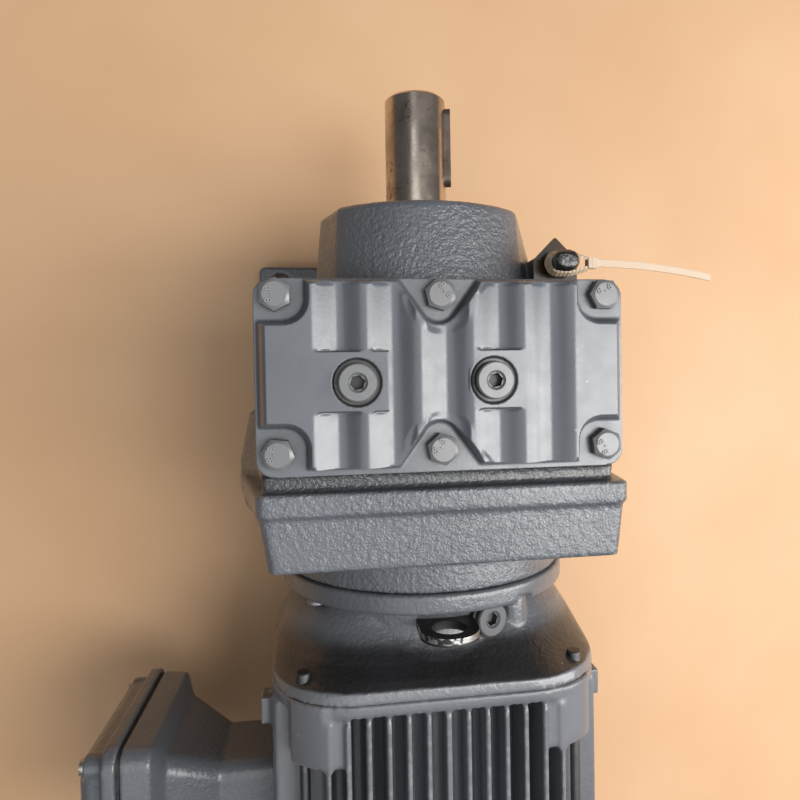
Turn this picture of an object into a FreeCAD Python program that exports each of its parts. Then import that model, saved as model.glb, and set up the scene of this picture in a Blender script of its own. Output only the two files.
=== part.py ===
"""Inline helical gear motor: foot-mounted two-stage gear unit with a squirrel-cage motor on the same axis.

Millimetres. +X right, +Y out of the output shaft, +Z up. The origin lies on the underside of the feet,
in the middle of the foot-hole pattern, straight below the output shaft. While the pieces are made, the
output shaft's axis is the Y axis and the cover's bolt pattern is centred on y = 0. Each piece is moved
to the origin above when it is written.
"""

import FreeCAD
import Part
import math
import os

V = FreeCAD.Vector

# Place of the whole
axis_height = 115.0
cover_ahead = 21.0

# Fits and gaps
running_gap = 0.05
seat_gap = 0.1
mesh_gap = 0.3

# Output shaft
shaft_r = 17.5
shaft_length = 70.0
shaft_collar_r = 20.0
shaft_shoulder_r = 24.0
shaft_rear_r = 15.0
shaft_chamfer = 1.5
key_width = 10.0
key_height = 8.0
key_depth = 5.0
key_length = 45.0
key_end_gap = 5.0
key_turn = 10.0
centre_thread_r = 5.1
centre_thread_depth = 28.0

# Gears: transverse modules, teeth, pressure and helix angles
centre_distance = 60.0
centre_angle = 225.0
pressure_angle = 25.0
helix_angle = 15.0
input_teeth = 13
counter_gear_teeth = 47
pinion_teeth = 11
output_teeth = 37
backlash = 0.3
input_face = 26.0
counter_gear_face = 22.0
pinion_face = 38.0
output_face = 34.0
output_gear_rim = 9.25
output_hub_r = 28.0
output_web_recess = 6.0
counter_gear_rim = 8.0
counter_hub_r = 18.0
counter_web_recess = 5.0

# Ball bearings: bore radius, outer radius, width
front_bearing = (20.0, 34.0, 15.0)
rear_bearing = (15.0, 31.0, 16.0)
counter_front_bearing = (8.5, 20.0, 12.0)
counter_bearing = (10.0, 23.5, 14.0)
motor_bearing = (12.5, 26.0, 15.0)
fan_end_bearing = (10.0, 23.5, 14.0)
balls_per_bearing = 7

# Stations along the axis, from the cover's bolt pattern
snout_face = 85.0
front_bearing_back = 52.0
front_wall_out = 42.0
front_wall_in = 34.0
counter_front = 39.0
counter_boss_face = 57.0
output_gear_front = 35.0
partition_front = -6.0
partition_back = -24.0
counter_gear_front = -32.0
input_pinion_front = -30.0
belly_front = -20.0
block_front = -53.6
block_back = -90.0
rear_room_back = -82.0
flange_joint = -105.5

# Gear housing
wall = 8.0
seat_plane = 81.5
seat_thickness = 8.0
housing_half_width = 80.0
belly_half_width = 103.0
belly_top = 6.0
belly_low = -62.0
belly_back_inset = 17.0
floor_thickness = 10.0
block_top = 86.0
block_left = 84.8
block_right = 87.6
block_left_taper = 3.4
block_right_taper = 2.4
lip_length = 10.5
lip_height = 2.0
snout_r = 65.0
snout_draft = 3.5
snout_half_width = 55.4
snout_flare = 6.2
snout_lean = 2.0
snout_rim = 2.0
neck_r = 78.0
seal_width = 9.5
foot_thickness = 15.0
foot_half_width = 100.0
foot_hole_r = 6.75
foot_spacing_x = 170.0
foot_spacing_y = 172.0
foot_margin = 12.0
foot_corner_r = 4.0

# Cover
cover_half_width = 85.2
cover_front = 42.5
cover_back = -45.5
cover_lip = 3.0
cover_corner_r = 8.0
gasket_thickness = 1.0
cover_flange_thickness = 6.5
cover_rise = 7.0
cover_draft = 3.5
cover_bolt_x = 75.5
cover_bolt_y = 35.0
middle_bolt_x = -2.3
cover_recess = 3.0
trough_pitch = 24.15
trough_width = 19.6
trough_depth = 4.2
trough_count = 5
pocket_x = 60.8
pocket_y = 21.4
pocket_corner_r = 11.0
pocket_slope = 2.2
middle_pocket_half_width = 20.8
middle_pocket_tip_r = 10.0
pad_front = 9.5
pad_back = -16.8
left_pad_end = -26.5
left_plug_x = -40.5
right_plug_x = 21.0
plug_y = -4.0

# Fasteners
bolt_r = 4.0
bolt_flats = 13.0
bolt_head = 5.3
bolt_length = 20.0
plug_thread_r = 6.0
plug_head_r = 8.5
plug_head = 3.2
plug_flats = 6.0
plug_spot_r = 10.8
plug_spot_depth = 1.0
plug_seal = 1.5
plug_turn = 22.0
plug_setback = 9.1

# Motor
flange_ring_r = 80.0
flange_ring = 10.0
spigot_r = 55.0
spigot_depth = 4.0
flange_bolt_circle_r = 72.0
flange_bolt_angle = 58.0
flange_bolt_r = 3.0
flange_notch_r = 9.0
flange_notch = 2.5
tool_room = 26.0
shield_neck_r = 64.0
shield_end = -153.0
frame_half = 84.5
frame_tube_r = 70.0
frame_wall = 6.0
frame_length = 147.0
fin_pitch = 9.4
fin_thickness = 2.6
pad_at = 62.0
pad_half_width = 12.0
pad_length = 30.0
stator_length = 88.0
stator_bore_r = 42.5
winding_gap = 2.5
winding_overhang = 17.0
rotor_gap = 0.5
motor_shaft_r = 12.0
pinion_seat_r = 7.0
rear_shield = 16.0
ear_thickness = 6.0
fan_cover_inset = 2.0
sheet = 1.6
tie_inset = 16.9
tab_out = 5.5
tab_back = 11.0
tab_length = 13.0
tab_top = 45.0

# Terminal box, on the left of the motor
box_out = -178.0
box_in = -138.5
box_front = -183.5
box_length = 102.0
box_half_height = 50.0
box_corner_r = 8.5
box_wall = 4.0
box_gasket = 1.5
box_floor = -143.5
lid_depth = 19.0
lid_flange = 6.5
lid_flange_out = 2.0
lid_step = 2.6
funnel_end = -114.0
funnel_waist = 11.0
neck_inset = 24.0
wire_way = (22.0, 24.0)
gland_r = 6.0
gland_flats = 16.0
block_size = (8.0, 56.0, 22.0)

# Lifting lug, tie post, cable tie and tag
lug_x = 2.0
lug_half_width = 14.2
lug_setback = 6.8
lug_thickness = 4.0
lug_hole_r = 8.4
lug_top = 91.0
post_x = 64.3
post_y = 54.0
post_half_width = 5.2
post_half_depth = 3.8
post_shoulder = 56.0
post_top = 76.0
post_head = 4.5
post_head_overhang = 1.9
tie_width = 3.6
tie_thickness = 1.1
tie_height = 63.0
tie_flare = 1.5
tie_head_x = 78.0
tie_head = 5.3
tie_tail = 62.0
tag_x = 64.0
tag_half_width = 11.5
tag_back = 43.0
tag_shoulder = 57.0
tag_thickness = 1.6

counter_x = centre_distance * math.cos(math.radians(centre_angle))
counter_z = centre_distance * math.sin(math.radians(centre_angle))
floor_z = -axis_height
input_module = 2 * centre_distance / (input_teeth + counter_gear_teeth)
output_module = 2 * centre_distance / (pinion_teeth + output_teeth)
fan_cover_r = frame_half - fan_cover_inset


# Plain shapes

def box(x0, x1, y0, y1, z0, z1):
    return Part.makeBox(x1 - x0, y1 - y0, z1 - z0, V(x0, y0, z0))


def round_y(r, y0, y1, x=0.0, z=0.0):
    """Cylinder along Y from y0 to y1."""
    return Part.makeCylinder(r, y1 - y0, V(x, y0, z), V(0, 1, 0))


def ring_y(outer, inner, y0, y1, x=0.0, z=0.0):
    return round_y(outer, y0, y1, x, z).cut(round_y(inner, y0 - 1, y1 + 1, x, z))


def round_z(r, z0, z1, x=0.0, y=0.0):
    """Cylinder along Z from z0 to z1."""
    return Part.makeCylinder(r, z1 - z0, V(x, y, z0), V(0, 0, 1))


def closed(points):
    return Part.makePolygon(list(points) + [points[0]])


def turned(profile, x=0.0, z=0.0):
    """Solid of revolution about a Y-parallel axis. The profile holds (y, radius) points."""
    face = Part.Face(closed([V(x + r, y, z) for y, r in profile]))
    return face.revolve(V(x, 0, z), V(0, 1, 0), 360)


def rounded_wire(points, radii):
    """Closed wire over the points, each corner rounded with its radius by a tangent arc."""
    edges, starts, ends = [], [], []
    n = len(points)
    for i, p in enumerate(points):
        before = (points[i - 1] - p).normalize()
        after = (points[(i + 1) % n] - p).normalize()
        if radii[i] <= 0:
            starts.append(p)
            ends.append(p)
            edges.append(None)
            continue
        half = before.getAngle(after) / 2
        reach = radii[i] / math.tan(half)
        a, b = p + before * reach, p + after * reach
        inward = (before + after).normalize()
        middle = p + inward * (radii[i] / math.sin(half) - radii[i])
        starts.append(a)
        ends.append(b)
        edges.append(Part.Arc(a, middle, b).toShape())
    line = []
    for i in range(n):
        if edges[i] is not None:
            line.append(edges[i])
        a, b = ends[i], starts[(i + 1) % n]
        if (b - a).Length > 1e-6:
            line.append(Part.makeLine(a, b))
    return Part.Wire(line)


def rounded_box(x0, x1, y0, y1, z0, z1, r):
    """Box with its four upright edges rounded."""
    corners = [V(x0, y0, z0), V(x1, y0, z0), V(x1, y1, z0), V(x0, y1, z0)]
    return Part.Face(rounded_wire(corners, [r] * 4)).extrude(V(0, 0, z1 - z0))


def rounded_prism_y(points, radii, y0, y1):
    """Prism along Y over an (x, z) outline with rounded corners."""
    wire = rounded_wire([V(x, y0, z) for x, z in points], radii)
    return Part.Face(wire).extrude(V(0, y1 - y0, 0))


def tapered(low, high):
    """Solid between two like wires."""
    return Part.makeLoft([low, high], True, True)


def hexagon(flats, z0, z1, x, y, turn):
    """Hexagonal prism along Z."""
    r = flats / 2 / math.cos(math.pi / 6)
    corners = []
    for i in range(6):
        a = math.radians(turn + 60 * i)
        corners.append(V(x + r * math.cos(a), y + r * math.sin(a), z0))
    return Part.Face(closed(corners)).extrude(V(0, 0, z1 - z0))


def mirrored(points):
    """Outline of (x, z) points on the right, closed by its own mirror image on the left."""
    return list(points) + [(-x, z) for x, z in reversed(points)]


def ring_places(count, r, first, x=0.0, z=0.0):
    """Centres (x, z) of a ring of like features."""
    places = []
    for i in range(count):
        a = math.radians(first + 360.0 * i / count)
        places.append((x + r * math.cos(a), z + r * math.sin(a)))
    return places


def turned_about_y(shape, degrees, x=0.0, z=0.0):
    """Turns a shape from +X towards +Z."""
    copy = shape.copy()
    copy.rotate(V(x, 0, z), V(0, 1, 0), -degrees)
    return copy


# Gears

def tooth_points(teeth, module, y, phase, thinning):
    """Points of a whole gear outline at one station: root, three points of each involute flank, tip."""
    pitch_r = teeth * module / 2
    base_r = pitch_r * math.cos(math.radians(pressure_angle))
    tip_r = pitch_r + module
    root_r = pitch_r - 1.25 * module
    start_r = max(base_r, root_r + 0.3 * module)
    at_pitch = math.tan(math.radians(pressure_angle)) - math.radians(pressure_angle)
    half_pitch = math.pi / (2 * teeth) - thinning / (2 * pitch_r)

    def half_angle(r):
        roll = math.acos(min(1.0, base_r / r))
        return half_pitch + at_pitch - (math.tan(roll) - roll)

    flank = [(root_r, half_angle(start_r) + 0.04 * module / root_r)]
    flank += [(r, half_angle(r)) for r in (start_r, (start_r + tip_r) / 2, tip_r)]
    points = []
    for i in range(teeth):
        centre = phase + 2 * math.pi * i / teeth
        for r, a in flank:
            points.append(V(r * math.cos(centre - a), y, r * math.sin(centre - a)))
        for r, a in reversed(flank):
            points.append(V(r * math.cos(centre + a), y, r * math.sin(centre + a)))
    return points


def helical_teeth(teeth, module, y0, y1, phase, hand, y_mesh, spans):
    """Solid with helical teeth between two stations. The phase, in radians, holds at y_mesh."""
    twist = hand * math.tan(math.radians(helix_angle)) / (teeth * module / 2)
    rims = []
    for i in range(spans + 1):
        y = y0 + (y1 - y0) * i / spans
        rims.append(tooth_points(teeth, module, y, phase + twist * (y - y_mesh), backlash / 2))
    faces = [Part.Face(closed(rims[0])), Part.Face(closed(rims[-1]))]
    for low, high in zip(rims, rims[1:]):
        for i in range(len(low)):
            a, b, c, d = low[i - 1], low[i], high[i - 1], high[i]
            faces.append(Part.Face(closed([a, b, c])))
            faces.append(Part.Face(closed([b, d, c])))
    shell = Part.makeShell(faces)
    shell.sewShape()
    solid = Part.makeSolid(shell)
    if solid.Volume < 0:
        solid.reverse()
    return solid


def moved_to_counter(shape):
    return shape.translated(V(counter_x, 0, counter_z))


def input_mesh():
    return input_pinion_front - input_face / 2


def output_mesh():
    return output_gear_front - output_face / 2


def toward_counter():
    """Phase of a gear on the main axis that points a tooth at the countershaft."""
    return math.radians(centre_angle)


def from_counter(teeth):
    """Phase of a gear on the countershaft that points a space at the main axis."""
    return math.radians(centre_angle - 180.0) + math.pi / teeth


# Bearings

def bearing_outer(kind, y0, x=0.0, z=0.0):
    """Outer ring of a ball bearing, with its ball track."""
    bore, outer, width = kind
    track, deep = outer_track(kind)
    m = y0 + width / 2
    profile = [(y0, outer), (y0 + width, outer), (y0 + width, track), (m + deep, track),
               (m + deep / 3, track + deep / 2), (m - deep / 3, track + deep / 2),
               (m - deep, track), (y0, track)]
    return turned(profile, x, z)


def bearing_inner(kind, y0, x=0.0, z=0.0):
    bore, outer, width = kind
    track, deep = inner_track(kind)
    m = y0 + width / 2
    r = bore + running_gap
    profile = [(y0, r), (y0 + width, r), (y0 + width, track), (m + deep, track),
               (m + deep / 3, track - deep / 2), (m - deep / 3, track - deep / 2),
               (m - deep, track), (y0, track)]
    return turned(profile, x, z)


def ball_r(kind):
    return 0.27 * (kind[1] - kind[0])


def ball_circle(kind):
    return (kind[0] + kind[1]) / 2


def outer_track(kind):
    """Radius of the outer ring's land, and its track's half width."""
    return ball_circle(kind) + 0.55 * ball_r(kind), 0.8 * ball_r(kind)


def inner_track(kind):
    return ball_circle(kind) - 0.55 * ball_r(kind), 0.8 * ball_r(kind)


def bearing_balls(kind, y0, x=0.0, z=0.0):
    """Balls, each a little clear of both tracks."""
    r = inner_reach(kind) - mesh_gap
    return [Part.makeSphere(r, V(bx, y0 + kind[2] / 2, bz))
            for bx, bz in ring_places(balls_per_bearing, ball_circle(kind), 0, x, z)]


def inner_reach(kind):
    """Distance from the ball circle to the bottom of either track."""
    track, deep = outer_track(kind)
    return track + deep / 2 - ball_circle(kind)


# Gear housing

def seat_outline(x, y0, y1, z, r):
    corners = [V(-x, y0, z), V(x, y0, z), V(x, y1, z), V(-x, y1, z)]
    return rounded_wire(corners, [r] * 4)


def side_points(top_corner, half_width):
    """Right half of a rear section, from its top corner over the belly's bulge down to the floor."""
    return [top_corner, (half_width, belly_top), (half_width, belly_low), (half_width - 3.0, floor_z)]


def block_section(y, rise, left, right, bulge):
    """Outline of the rear block at one station. It reaches a little further to the right."""
    top = block_top + rise
    side = side_points((right, top), bulge)
    other = [(-x, z) for x, z in reversed(side_points((left, top), bulge))]
    points = [V(x, y, z) for x, z in side + other]
    return rounded_wire(points, [5, 24, 12, 0, 0, 12, 24, 5])


def belly_section(y, inset):
    points = mirrored(side_points((74.0 - inset, 62.0), belly_half_width - inset))
    return rounded_wire([V(x, y, z) for x, z in points], [10, 24, 12, 0, 0, 12, 24, 10])


def belly():
    """Bulge round the large gears, rounded off to the front and to the back."""
    stations = [(belly_front, 6.0), (belly_front - 28.0, 0.0), (belly_front - 52.0, 2.0),
                (block_back, belly_back_inset)]
    sections = [belly_section(y, inset) for y, inset in stations]
    return [tapered(a, b) for a, b in zip(sections, sections[1:])]


def snout_section(y, grow, flare, lean):
    """Front boss: a round top between flat sides, over a skirt that narrows downwards."""
    r = snout_r + grow
    half = snout_half_width + flare
    shoulder = math.radians(44)
    s = V(r * math.cos(shoulder), y, r * math.sin(shoulder))
    flat_top, flat_low, low = 21.0 + 2.1 * flare, -46.0, -80.0 - grow
    low_half = half - 18
    corners = [V(lean - half, y, flat_top), V(lean - half, y, flat_low), V(-low_half, y, low),
               V(low_half, y, low), V(lean + half, y, flat_low), V(lean + half, y, flat_top)]
    edges = [Part.Arc(s, V(0, y, r), V(-s.x, y, s.z)).toShape(), Part.makeLine(V(-s.x, y, s.z), corners[0])]
    edges += [Part.makeLine(p, q) for p, q in zip(corners, corners[1:])]
    return Part.Wire(edges + [Part.makeLine(corners[-1], s)])


def snout():
    front = snout_section(snout_face - snout_rim, 0.0, 0.0, 0.0)
    body = tapered(snout_section(front_wall_in, snout_draft, snout_flare, snout_lean), front)
    return body.fuse(tapered(front, snout_section(snout_face, -snout_rim, -snout_rim, 0.0)))


def housing_seat():
    """Machined top of the housing, round the cover's opening, with its sloping rear margin."""
    top = seat_outline(cover_half_width + 0.5, cover_back - 1.0, cover_front, seat_plane, cover_corner_r)
    low = seat_outline(cover_half_width + 0.5, cover_back - 7.0, cover_front, seat_plane - seat_thickness,
                       cover_corner_r)
    return tapered(low, top)


def housing_outside():
    main = rounded_box(-housing_half_width - wall / 2, housing_half_width + wall / 2, block_front - 1.0,
                       front_wall_out, floor_z + 1.0, seat_plane - 1.0, 6.0)
    step = block_front - lip_length
    back = block_section(block_back, 0.0, block_left - block_left_taper, block_right - block_right_taper,
                         belly_half_width - belly_back_inset - 0.5)
    block = tapered(back, block_section(step, 0.0, block_left, block_right, belly_half_width - 2.0))
    lip = block_section(step, lip_height, block_left + 1.0, block_right + 1.0, belly_half_width - 0.5)
    lip = Part.Face(lip).extrude(V(0, lip_length, 0))
    neck = round_y(neck_r, flange_joint, block_back)
    counter_boss = round_y(counter_front_bearing[1] + 10.0, front_wall_in, counter_boss_face,
                           counter_x, counter_z)
    return main.multiFuse(belly() + [block, lip, neck, snout(), counter_boss, housing_seat(), foot_plate()])


def foot_plate():
    x, y = foot_half_width, foot_spacing_y / 2 + foot_margin
    return rounded_box(-x, x, -cover_ahead - y, -cover_ahead + y, floor_z, floor_z + foot_thickness, foot_corner_r)


def foot_places():
    return [(sx * foot_spacing_x / 2, -cover_ahead + sy * foot_spacing_y / 2)
            for sx in (-1, 1) for sy in (-1, 1)]


def front_room():
    """Room of the output gear, open at the top under the cover."""
    room = rounded_box(-housing_half_width + wall, housing_half_width - wall, partition_front, front_wall_in,
                       floor_z + floor_thickness, seat_plane - seat_thickness - 2, 6.0)
    mouth = rounded_box(-64.0, 64.0, -25.0, 26.0, seat_plane - seat_thickness - 3, seat_plane + 1, 8.0)
    gear_r = output_teeth * output_module / 2 + output_module + 3.0
    pinion_r = pinion_teeth * output_module / 2 + output_module + 1.5
    gear_pocket = round_y(gear_r, front_wall_in - 1, output_gear_front + 2.0)
    pinion_pocket = round_y(pinion_r, front_wall_in - 1, counter_front, counter_x, counter_z)
    return room.multiFuse([mouth, gear_pocket, pinion_pocket])


def rear_room():
    """Wide room of the first gear pair, behind the partition."""
    behind_lip = block_front - wall
    gear_clear = counter_gear_front + 1.0
    entry = room_part((66.0, 55.0), belly_half_width - 20.0, gear_clear, partition_back)
    middle = room_part((66.0, 55.0), belly_half_width - 9.5, behind_lip, gear_clear)
    high = (block_left - wall, block_top - wall)
    back = room_part(high, belly_half_width - 22.0, rear_room_back, behind_lip)
    return entry.multiFuse([middle, back])


def room_part(top_corner, half_width, y0, y1):
    """Stretch of the rear room, with the same outline as the belly round it."""
    half = side_points(top_corner, half_width)
    half[-1] = (half[-1][0], floor_z + floor_thickness)
    return rounded_prism_y(mirrored(half), [6, 16, 6, 4, 4, 6, 16, 6], y0, y1)


def bearing_bores():
    """Bores and seats of the gear unit's bearings, seal and closing cap."""
    front_r = front_bearing[1] + running_gap
    bores = [
        round_y(front_r, front_bearing_back, snout_face + 1),
        round_y(front_bearing[1] - 4, output_gear_front, front_bearing_back + 1),
        round_y(rear_bearing[1] + running_gap, partition_front - rear_bearing[2], partition_front + 1),
        round_y(rear_bearing[1] - 4, partition_back - 1, partition_front),
        round_y(counter_front_bearing[1] + running_gap, counter_front, counter_boss_face + 1,
                counter_x, counter_z),
        round_y(counter_bearing[1] + running_gap, partition_front - counter_bearing[2], partition_front + 1,
                counter_x, counter_z),
        round_y(counter_bearing[1] - 4, partition_back - 1, partition_front, counter_x, counter_z),
        round_y(spigot_r + running_gap, flange_joint - 1, rear_room_back + 1),
    ]
    return bores


def oval(z, grow):
    """Rounded outline round the tie post, grown on every side."""
    x, y = post_half_width + grow, post_half_depth + grow
    corners = [V(post_x - x, post_y - y, z), V(post_x + x, post_y - y, z), V(post_x + x, post_y + y, z),
               V(post_x - x, post_y + y, z)]
    return rounded_wire(corners, [y * 0.9] * 4)


def tie_post():
    """Cast post on the right shoulder: broad foot, waist for the tie, and a domed head."""
    foot = box(post_x - post_half_width - 3.0, post_x + post_half_width + 3.0, front_wall_out - 1,
               post_y + post_half_depth + 2.0, 20.0, post_shoulder)
    under = Part.Face(closed([V(0, front_wall_out - 1, 19.0), V(0, post_y + post_half_depth + 3.0, 19.0),
                              V(0, post_y + post_half_depth + 3.0, 36.0)]))
    under = under.extrude(V(200.0, 0, 0))
    waist = Part.Face(oval(post_shoulder - 1, 0.0)).extrude(V(0, 0, post_top - post_head - post_shoulder + 2))
    low, high = post_top - post_head, post_top
    head = tapered(oval(low, post_head_overhang - 1.0), oval(low + 1.5, post_head_overhang))
    dome = tapered(oval(low + 1.5, post_head_overhang), oval(high, post_head_overhang - 2.2))
    return foot.cut(under).multiFuse([waist, head, dome])


def gear_housing():
    body = housing_outside().fuse(tie_post())
    body = body.cut([front_room(), rear_room()] + bearing_bores())
    holes = [round_z(foot_hole_r, floor_z - 1, floor_z + foot_thickness + 1, x, y) for x, y in foot_places()]
    for x, y in cover_bolt_places():
        holes.append(round_z(bolt_r + seat_gap, bolt_bottom() - 1.0, seat_plane + 1, x, y))
    for x, z in flange_bolt_places():
        holes.append(round_y(flange_bolt_r + seat_gap, flange_joint - 1, flange_joint + 13.0, x, z))
    return body.cut(holes)


# Cover

def cover_bolt_places():
    places = [(x, y) for x in (-cover_bolt_x, cover_bolt_x) for y in (-cover_bolt_y, cover_bolt_y)]
    return places + [(middle_bolt_x, -cover_bolt_y), (middle_bolt_x, cover_bolt_y)]


def flange_top():
    """Height of the cover's flange, where the bolt heads sit."""
    return seat_plane + gasket_thickness + cover_flange_thickness


def cover_top():
    return flange_top() + cover_rise


def bolt_bottom():
    return flange_top() - bolt_length


def cover_body():
    low = seat_plane + gasket_thickness
    corner = cover_corner_r
    flange = Part.Face(seat_outline(cover_half_width, cover_back, cover_front, low, corner))
    flange = flange.extrude(V(0, 0, cover_flange_thickness))
    y0, y1 = cover_back + cover_lip, cover_front
    base = seat_outline(cover_half_width - 1.0, y0, y1 - 0.5, flange_top() - 1.0, corner)
    bevel = 1.2
    side = seat_outline(cover_half_width - cover_draft - 0.8, y0 + 0.8, y1 - 2.0, cover_top() - bevel, corner)
    top = seat_outline(cover_half_width - cover_draft - 0.8 - bevel, y0 + 0.8 + bevel, y1 - 2.0 - bevel,
                       cover_top(), corner - bevel)
    return flange.multiFuse([tapered(base, side), tapered(side, top)])


def corner_pocket(sx, sy):
    """Stepped-down corner for a bolt head, with a sloping wall."""
    far = cover_half_width + 5.0

    def outline(z, spread):
        x = pocket_x - spread
        y = pocket_y - spread
        r = pocket_corner_r + 0.5 * spread
        corners = [V(sx * x, sy * y, z), V(sx * far, sy * y, z), V(sx * far, sy * far, z), V(sx * x, sy * far, z)]
        return rounded_wire(corners, [r, 0, 0, 0])

    spread = pocket_slope / cover_rise
    return tapered(outline(flange_top(), -pocket_slope), outline(cover_top() + 1.0, spread))


def middle_pocket(sy):
    """Notch that narrows from the cover's edge to a round tip."""
    x = middle_bolt_x - 0.7
    centre_y = pocket_y - 1.0 + middle_pocket_tip_r

    def outline(z, spread):
        r = middle_pocket_tip_r + spread
        half = middle_pocket_half_width + spread
        depth = cover_front - centre_y
        lean = math.acos(r / math.hypot(half, depth)) - math.atan2(depth, half)
        touch = V(r * math.cos(lean), sy * (centre_y - r * math.sin(lean)), z)
        edge = half + 6.0 * math.tan(lean)
        far = sy * (cover_front + 6.0)
        right, left = V(x + touch.x, touch.y, z), V(x - touch.x, touch.y, z)
        edges = [
            Part.makeLine(V(x - edge, far, z), left),
            Part.Arc(left, V(x, sy * (centre_y - r), z), right).toShape(),
            Part.makeLine(right, V(x + edge, far, z)),
            Part.makeLine(V(x + edge, far, z), V(x - edge, far, z)),
        ]
        return Part.Wire(edges)

    spread = pocket_slope / cover_rise
    return tapered(outline(flange_top(), -pocket_slope), outline(cover_top() + 1.0, spread))


def trough(x, y0, y1):
    """Groove with a round bottom and rolled edges, cut along the shaft's direction."""
    half = trough_width / 2
    top = cover_top()
    roll = 2.2
    outline = [
        Part.Arc(V(x - half, y0, top), V(x, y0, top - trough_depth), V(x + half, y0, top)).toShape(),
        Part.makeLine(V(x + half, y0, top), V(x + half + roll, y0, top + roll)),
        Part.makeLine(V(x + half + roll, y0, top + roll), V(x - half - roll, y0, top + roll)),
        Part.makeLine(V(x - half - roll, y0, top + roll), V(x - half, y0, top)),
    ]
    return Part.Face(Part.Wire(outline)).extrude(V(0, y1 - y0, 0))


def plug_places():
    return [(left_plug_x, plug_y), (right_plug_x, plug_y)]


def housing_cover():
    cover = cover_body()
    front, back = cover_front + 1.0, cover_back - 1.0
    first = -(trough_count - 1) / 2
    cuts = []
    for i in range(trough_count):
        x = (first + i) * trough_pitch
        if i in (0, 1, 3):
            cuts.append(trough(x, pad_front, front))
            cuts.append(trough(x, back, pad_back))
        else:
            cuts.append(trough(x, back, front))
    pad_side = (first + 1) * trough_pitch
    rest = box(left_pad_end, pad_side + trough_width, pad_back - 1, pad_front + 1, flange_top() - 1,
               cover_top() + 3)
    cuts.append(trough(pad_side, pad_back - 1, pad_front + 1).common(rest))
    cuts += [corner_pocket(sx, sy) for sx in (-1, 1) for sy in (-1, 1)]
    cuts += [middle_pocket(sy) for sy in (-1, 1)]
    low = seat_plane + gasket_thickness
    hollow = rounded_box(-58.0, 58.0, -17.0, 16.0, low - 1, low + cover_recess, 6.0)
    cuts.append(hollow)
    for x, y in cover_bolt_places():
        cuts.append(round_z(bolt_r + 0.5, low - 1, flange_top() + 1, x, y))
    for x, y in plug_places():
        cuts.append(round_z(plug_thread_r + seat_gap, low - 1, cover_top() + 1, x, y))
        cuts.append(round_z(plug_spot_r, cover_top() - plug_spot_depth, cover_top() + 5, x, y))
    return cover.cut(cuts)


def cover_gasket():
    x, y0, y1 = cover_half_width + 0.2, cover_back - 0.2, cover_front + 0.2
    sheet_face = Part.Face(seat_outline(x, y0, y1, seat_plane, cover_corner_r))
    gasket = sheet_face.extrude(V(0, 0, gasket_thickness))
    mouth = rounded_box(-64.0, 64.0, -25.0, 26.0, seat_plane - 1, seat_plane + gasket_thickness + 1, 8.0)
    holes = [round_z(bolt_r + 0.5, seat_plane - 1, seat_plane + gasket_thickness + 1, x, y)
             for x, y in cover_bolt_places()]
    return gasket.cut([mouth] + holes)


def turned_z(profile, x, y):
    """Solid of revolution about a Z-parallel axis. The profile holds (z, radius) points."""
    face = Part.Face(closed([V(x + r, y, z) for z, r in profile]))
    return face.revolve(V(x, y, 0), V(0, 0, 1), 360)


def hex_bolt(x, y, turn):
    """Hexagon bolt standing on the cover's flange, its head bevelled."""
    z = flange_top()
    corner_r = bolt_flats / 2 / math.cos(math.pi / 6)
    crown_r = bolt_flats * 0.475
    bevel = (corner_r - crown_r) * math.tan(math.radians(28))
    crown = turned_z([(z, 0), (z, corner_r + 0.1), (z + bolt_head - bevel, corner_r + 0.1),
                      (z + bolt_head, crown_r), (z + bolt_head, 0)], x, y)
    head = hexagon(bolt_flats, z, z + bolt_head, x, y, turn).common(crown)
    return head.fuse(round_z(bolt_r, z - bolt_length, z + 0.5, x, y))


def cover_bolts():
    turns = [20.0, 13.0, 8.0, 32.0, 24.0, 40.0]
    return [hex_bolt(x, y, t) for (x, y), t in zip(cover_bolt_places(), turns)]


def socket_plug(shank):
    """Screw plug with a round collar and a hexagon socket, standing along +Z with its collar at z = 0."""
    rim = 0.6
    head = Part.makeCylinder(plug_head_r, plug_head - rim, V(0, 0, 0))
    top = Part.makeCone(plug_head_r, plug_head_r - rim, rim, V(0, 0, plug_head - rim), V(0, 0, 1))
    body = head.multiFuse([top, Part.makeCylinder(plug_thread_r, shank, V(0, 0, -shank))])
    entry = Part.makeCone(plug_flats * 0.58, plug_flats * 0.76, 1.2, V(0, 0, plug_head - 1.1), V(0, 0, 1))
    return body.cut([hexagon(plug_flats, -3.0, plug_head + 1, 0, 0, 12.0), entry])


def seal_washer():
    return Part.makeCylinder(plug_head_r + 0.2, plug_seal).cut(
        Part.makeCylinder(plug_thread_r + seat_gap, plug_seal + 2, V(0, 0, -1)))


def cover_plug(index):
    x, y = plug_places()[index]
    z = cover_top() - plug_spot_depth + plug_seal
    shank = z - seat_plane - gasket_thickness - 0.5
    return socket_plug(shank).translated(V(x, y, z))


def flange_plug_place():
    """Placement of the screw plug on the motor flange's neck, turned to the right of the top."""
    turn = FreeCAD.Rotation(V(0, 1, 0), plug_turn)
    out = turn.multVec(V(0, 0, 1))
    base = out * (shield_neck_r + 2.0)
    return FreeCAD.Placement(V(base.x, flange_joint - flange_ring - plug_setback, base.z), turn)


def flange_plug():
    plug = socket_plug(10.0).translated(V(0, 0, plug_seal))
    plug.Placement = flange_plug_place()
    return plug.translated(flange_plug_place().Rotation.multVec(V(0, 0, plug_seal)))


def plug_seals():
    seals = []
    for x, y in plug_places():
        seals.append(seal_washer().translated(V(x, y, cover_top() - plug_spot_depth)))
    last = seal_washer()
    last.Placement = flange_plug_place()
    return seals + [last]


# Output shaft line

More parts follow.
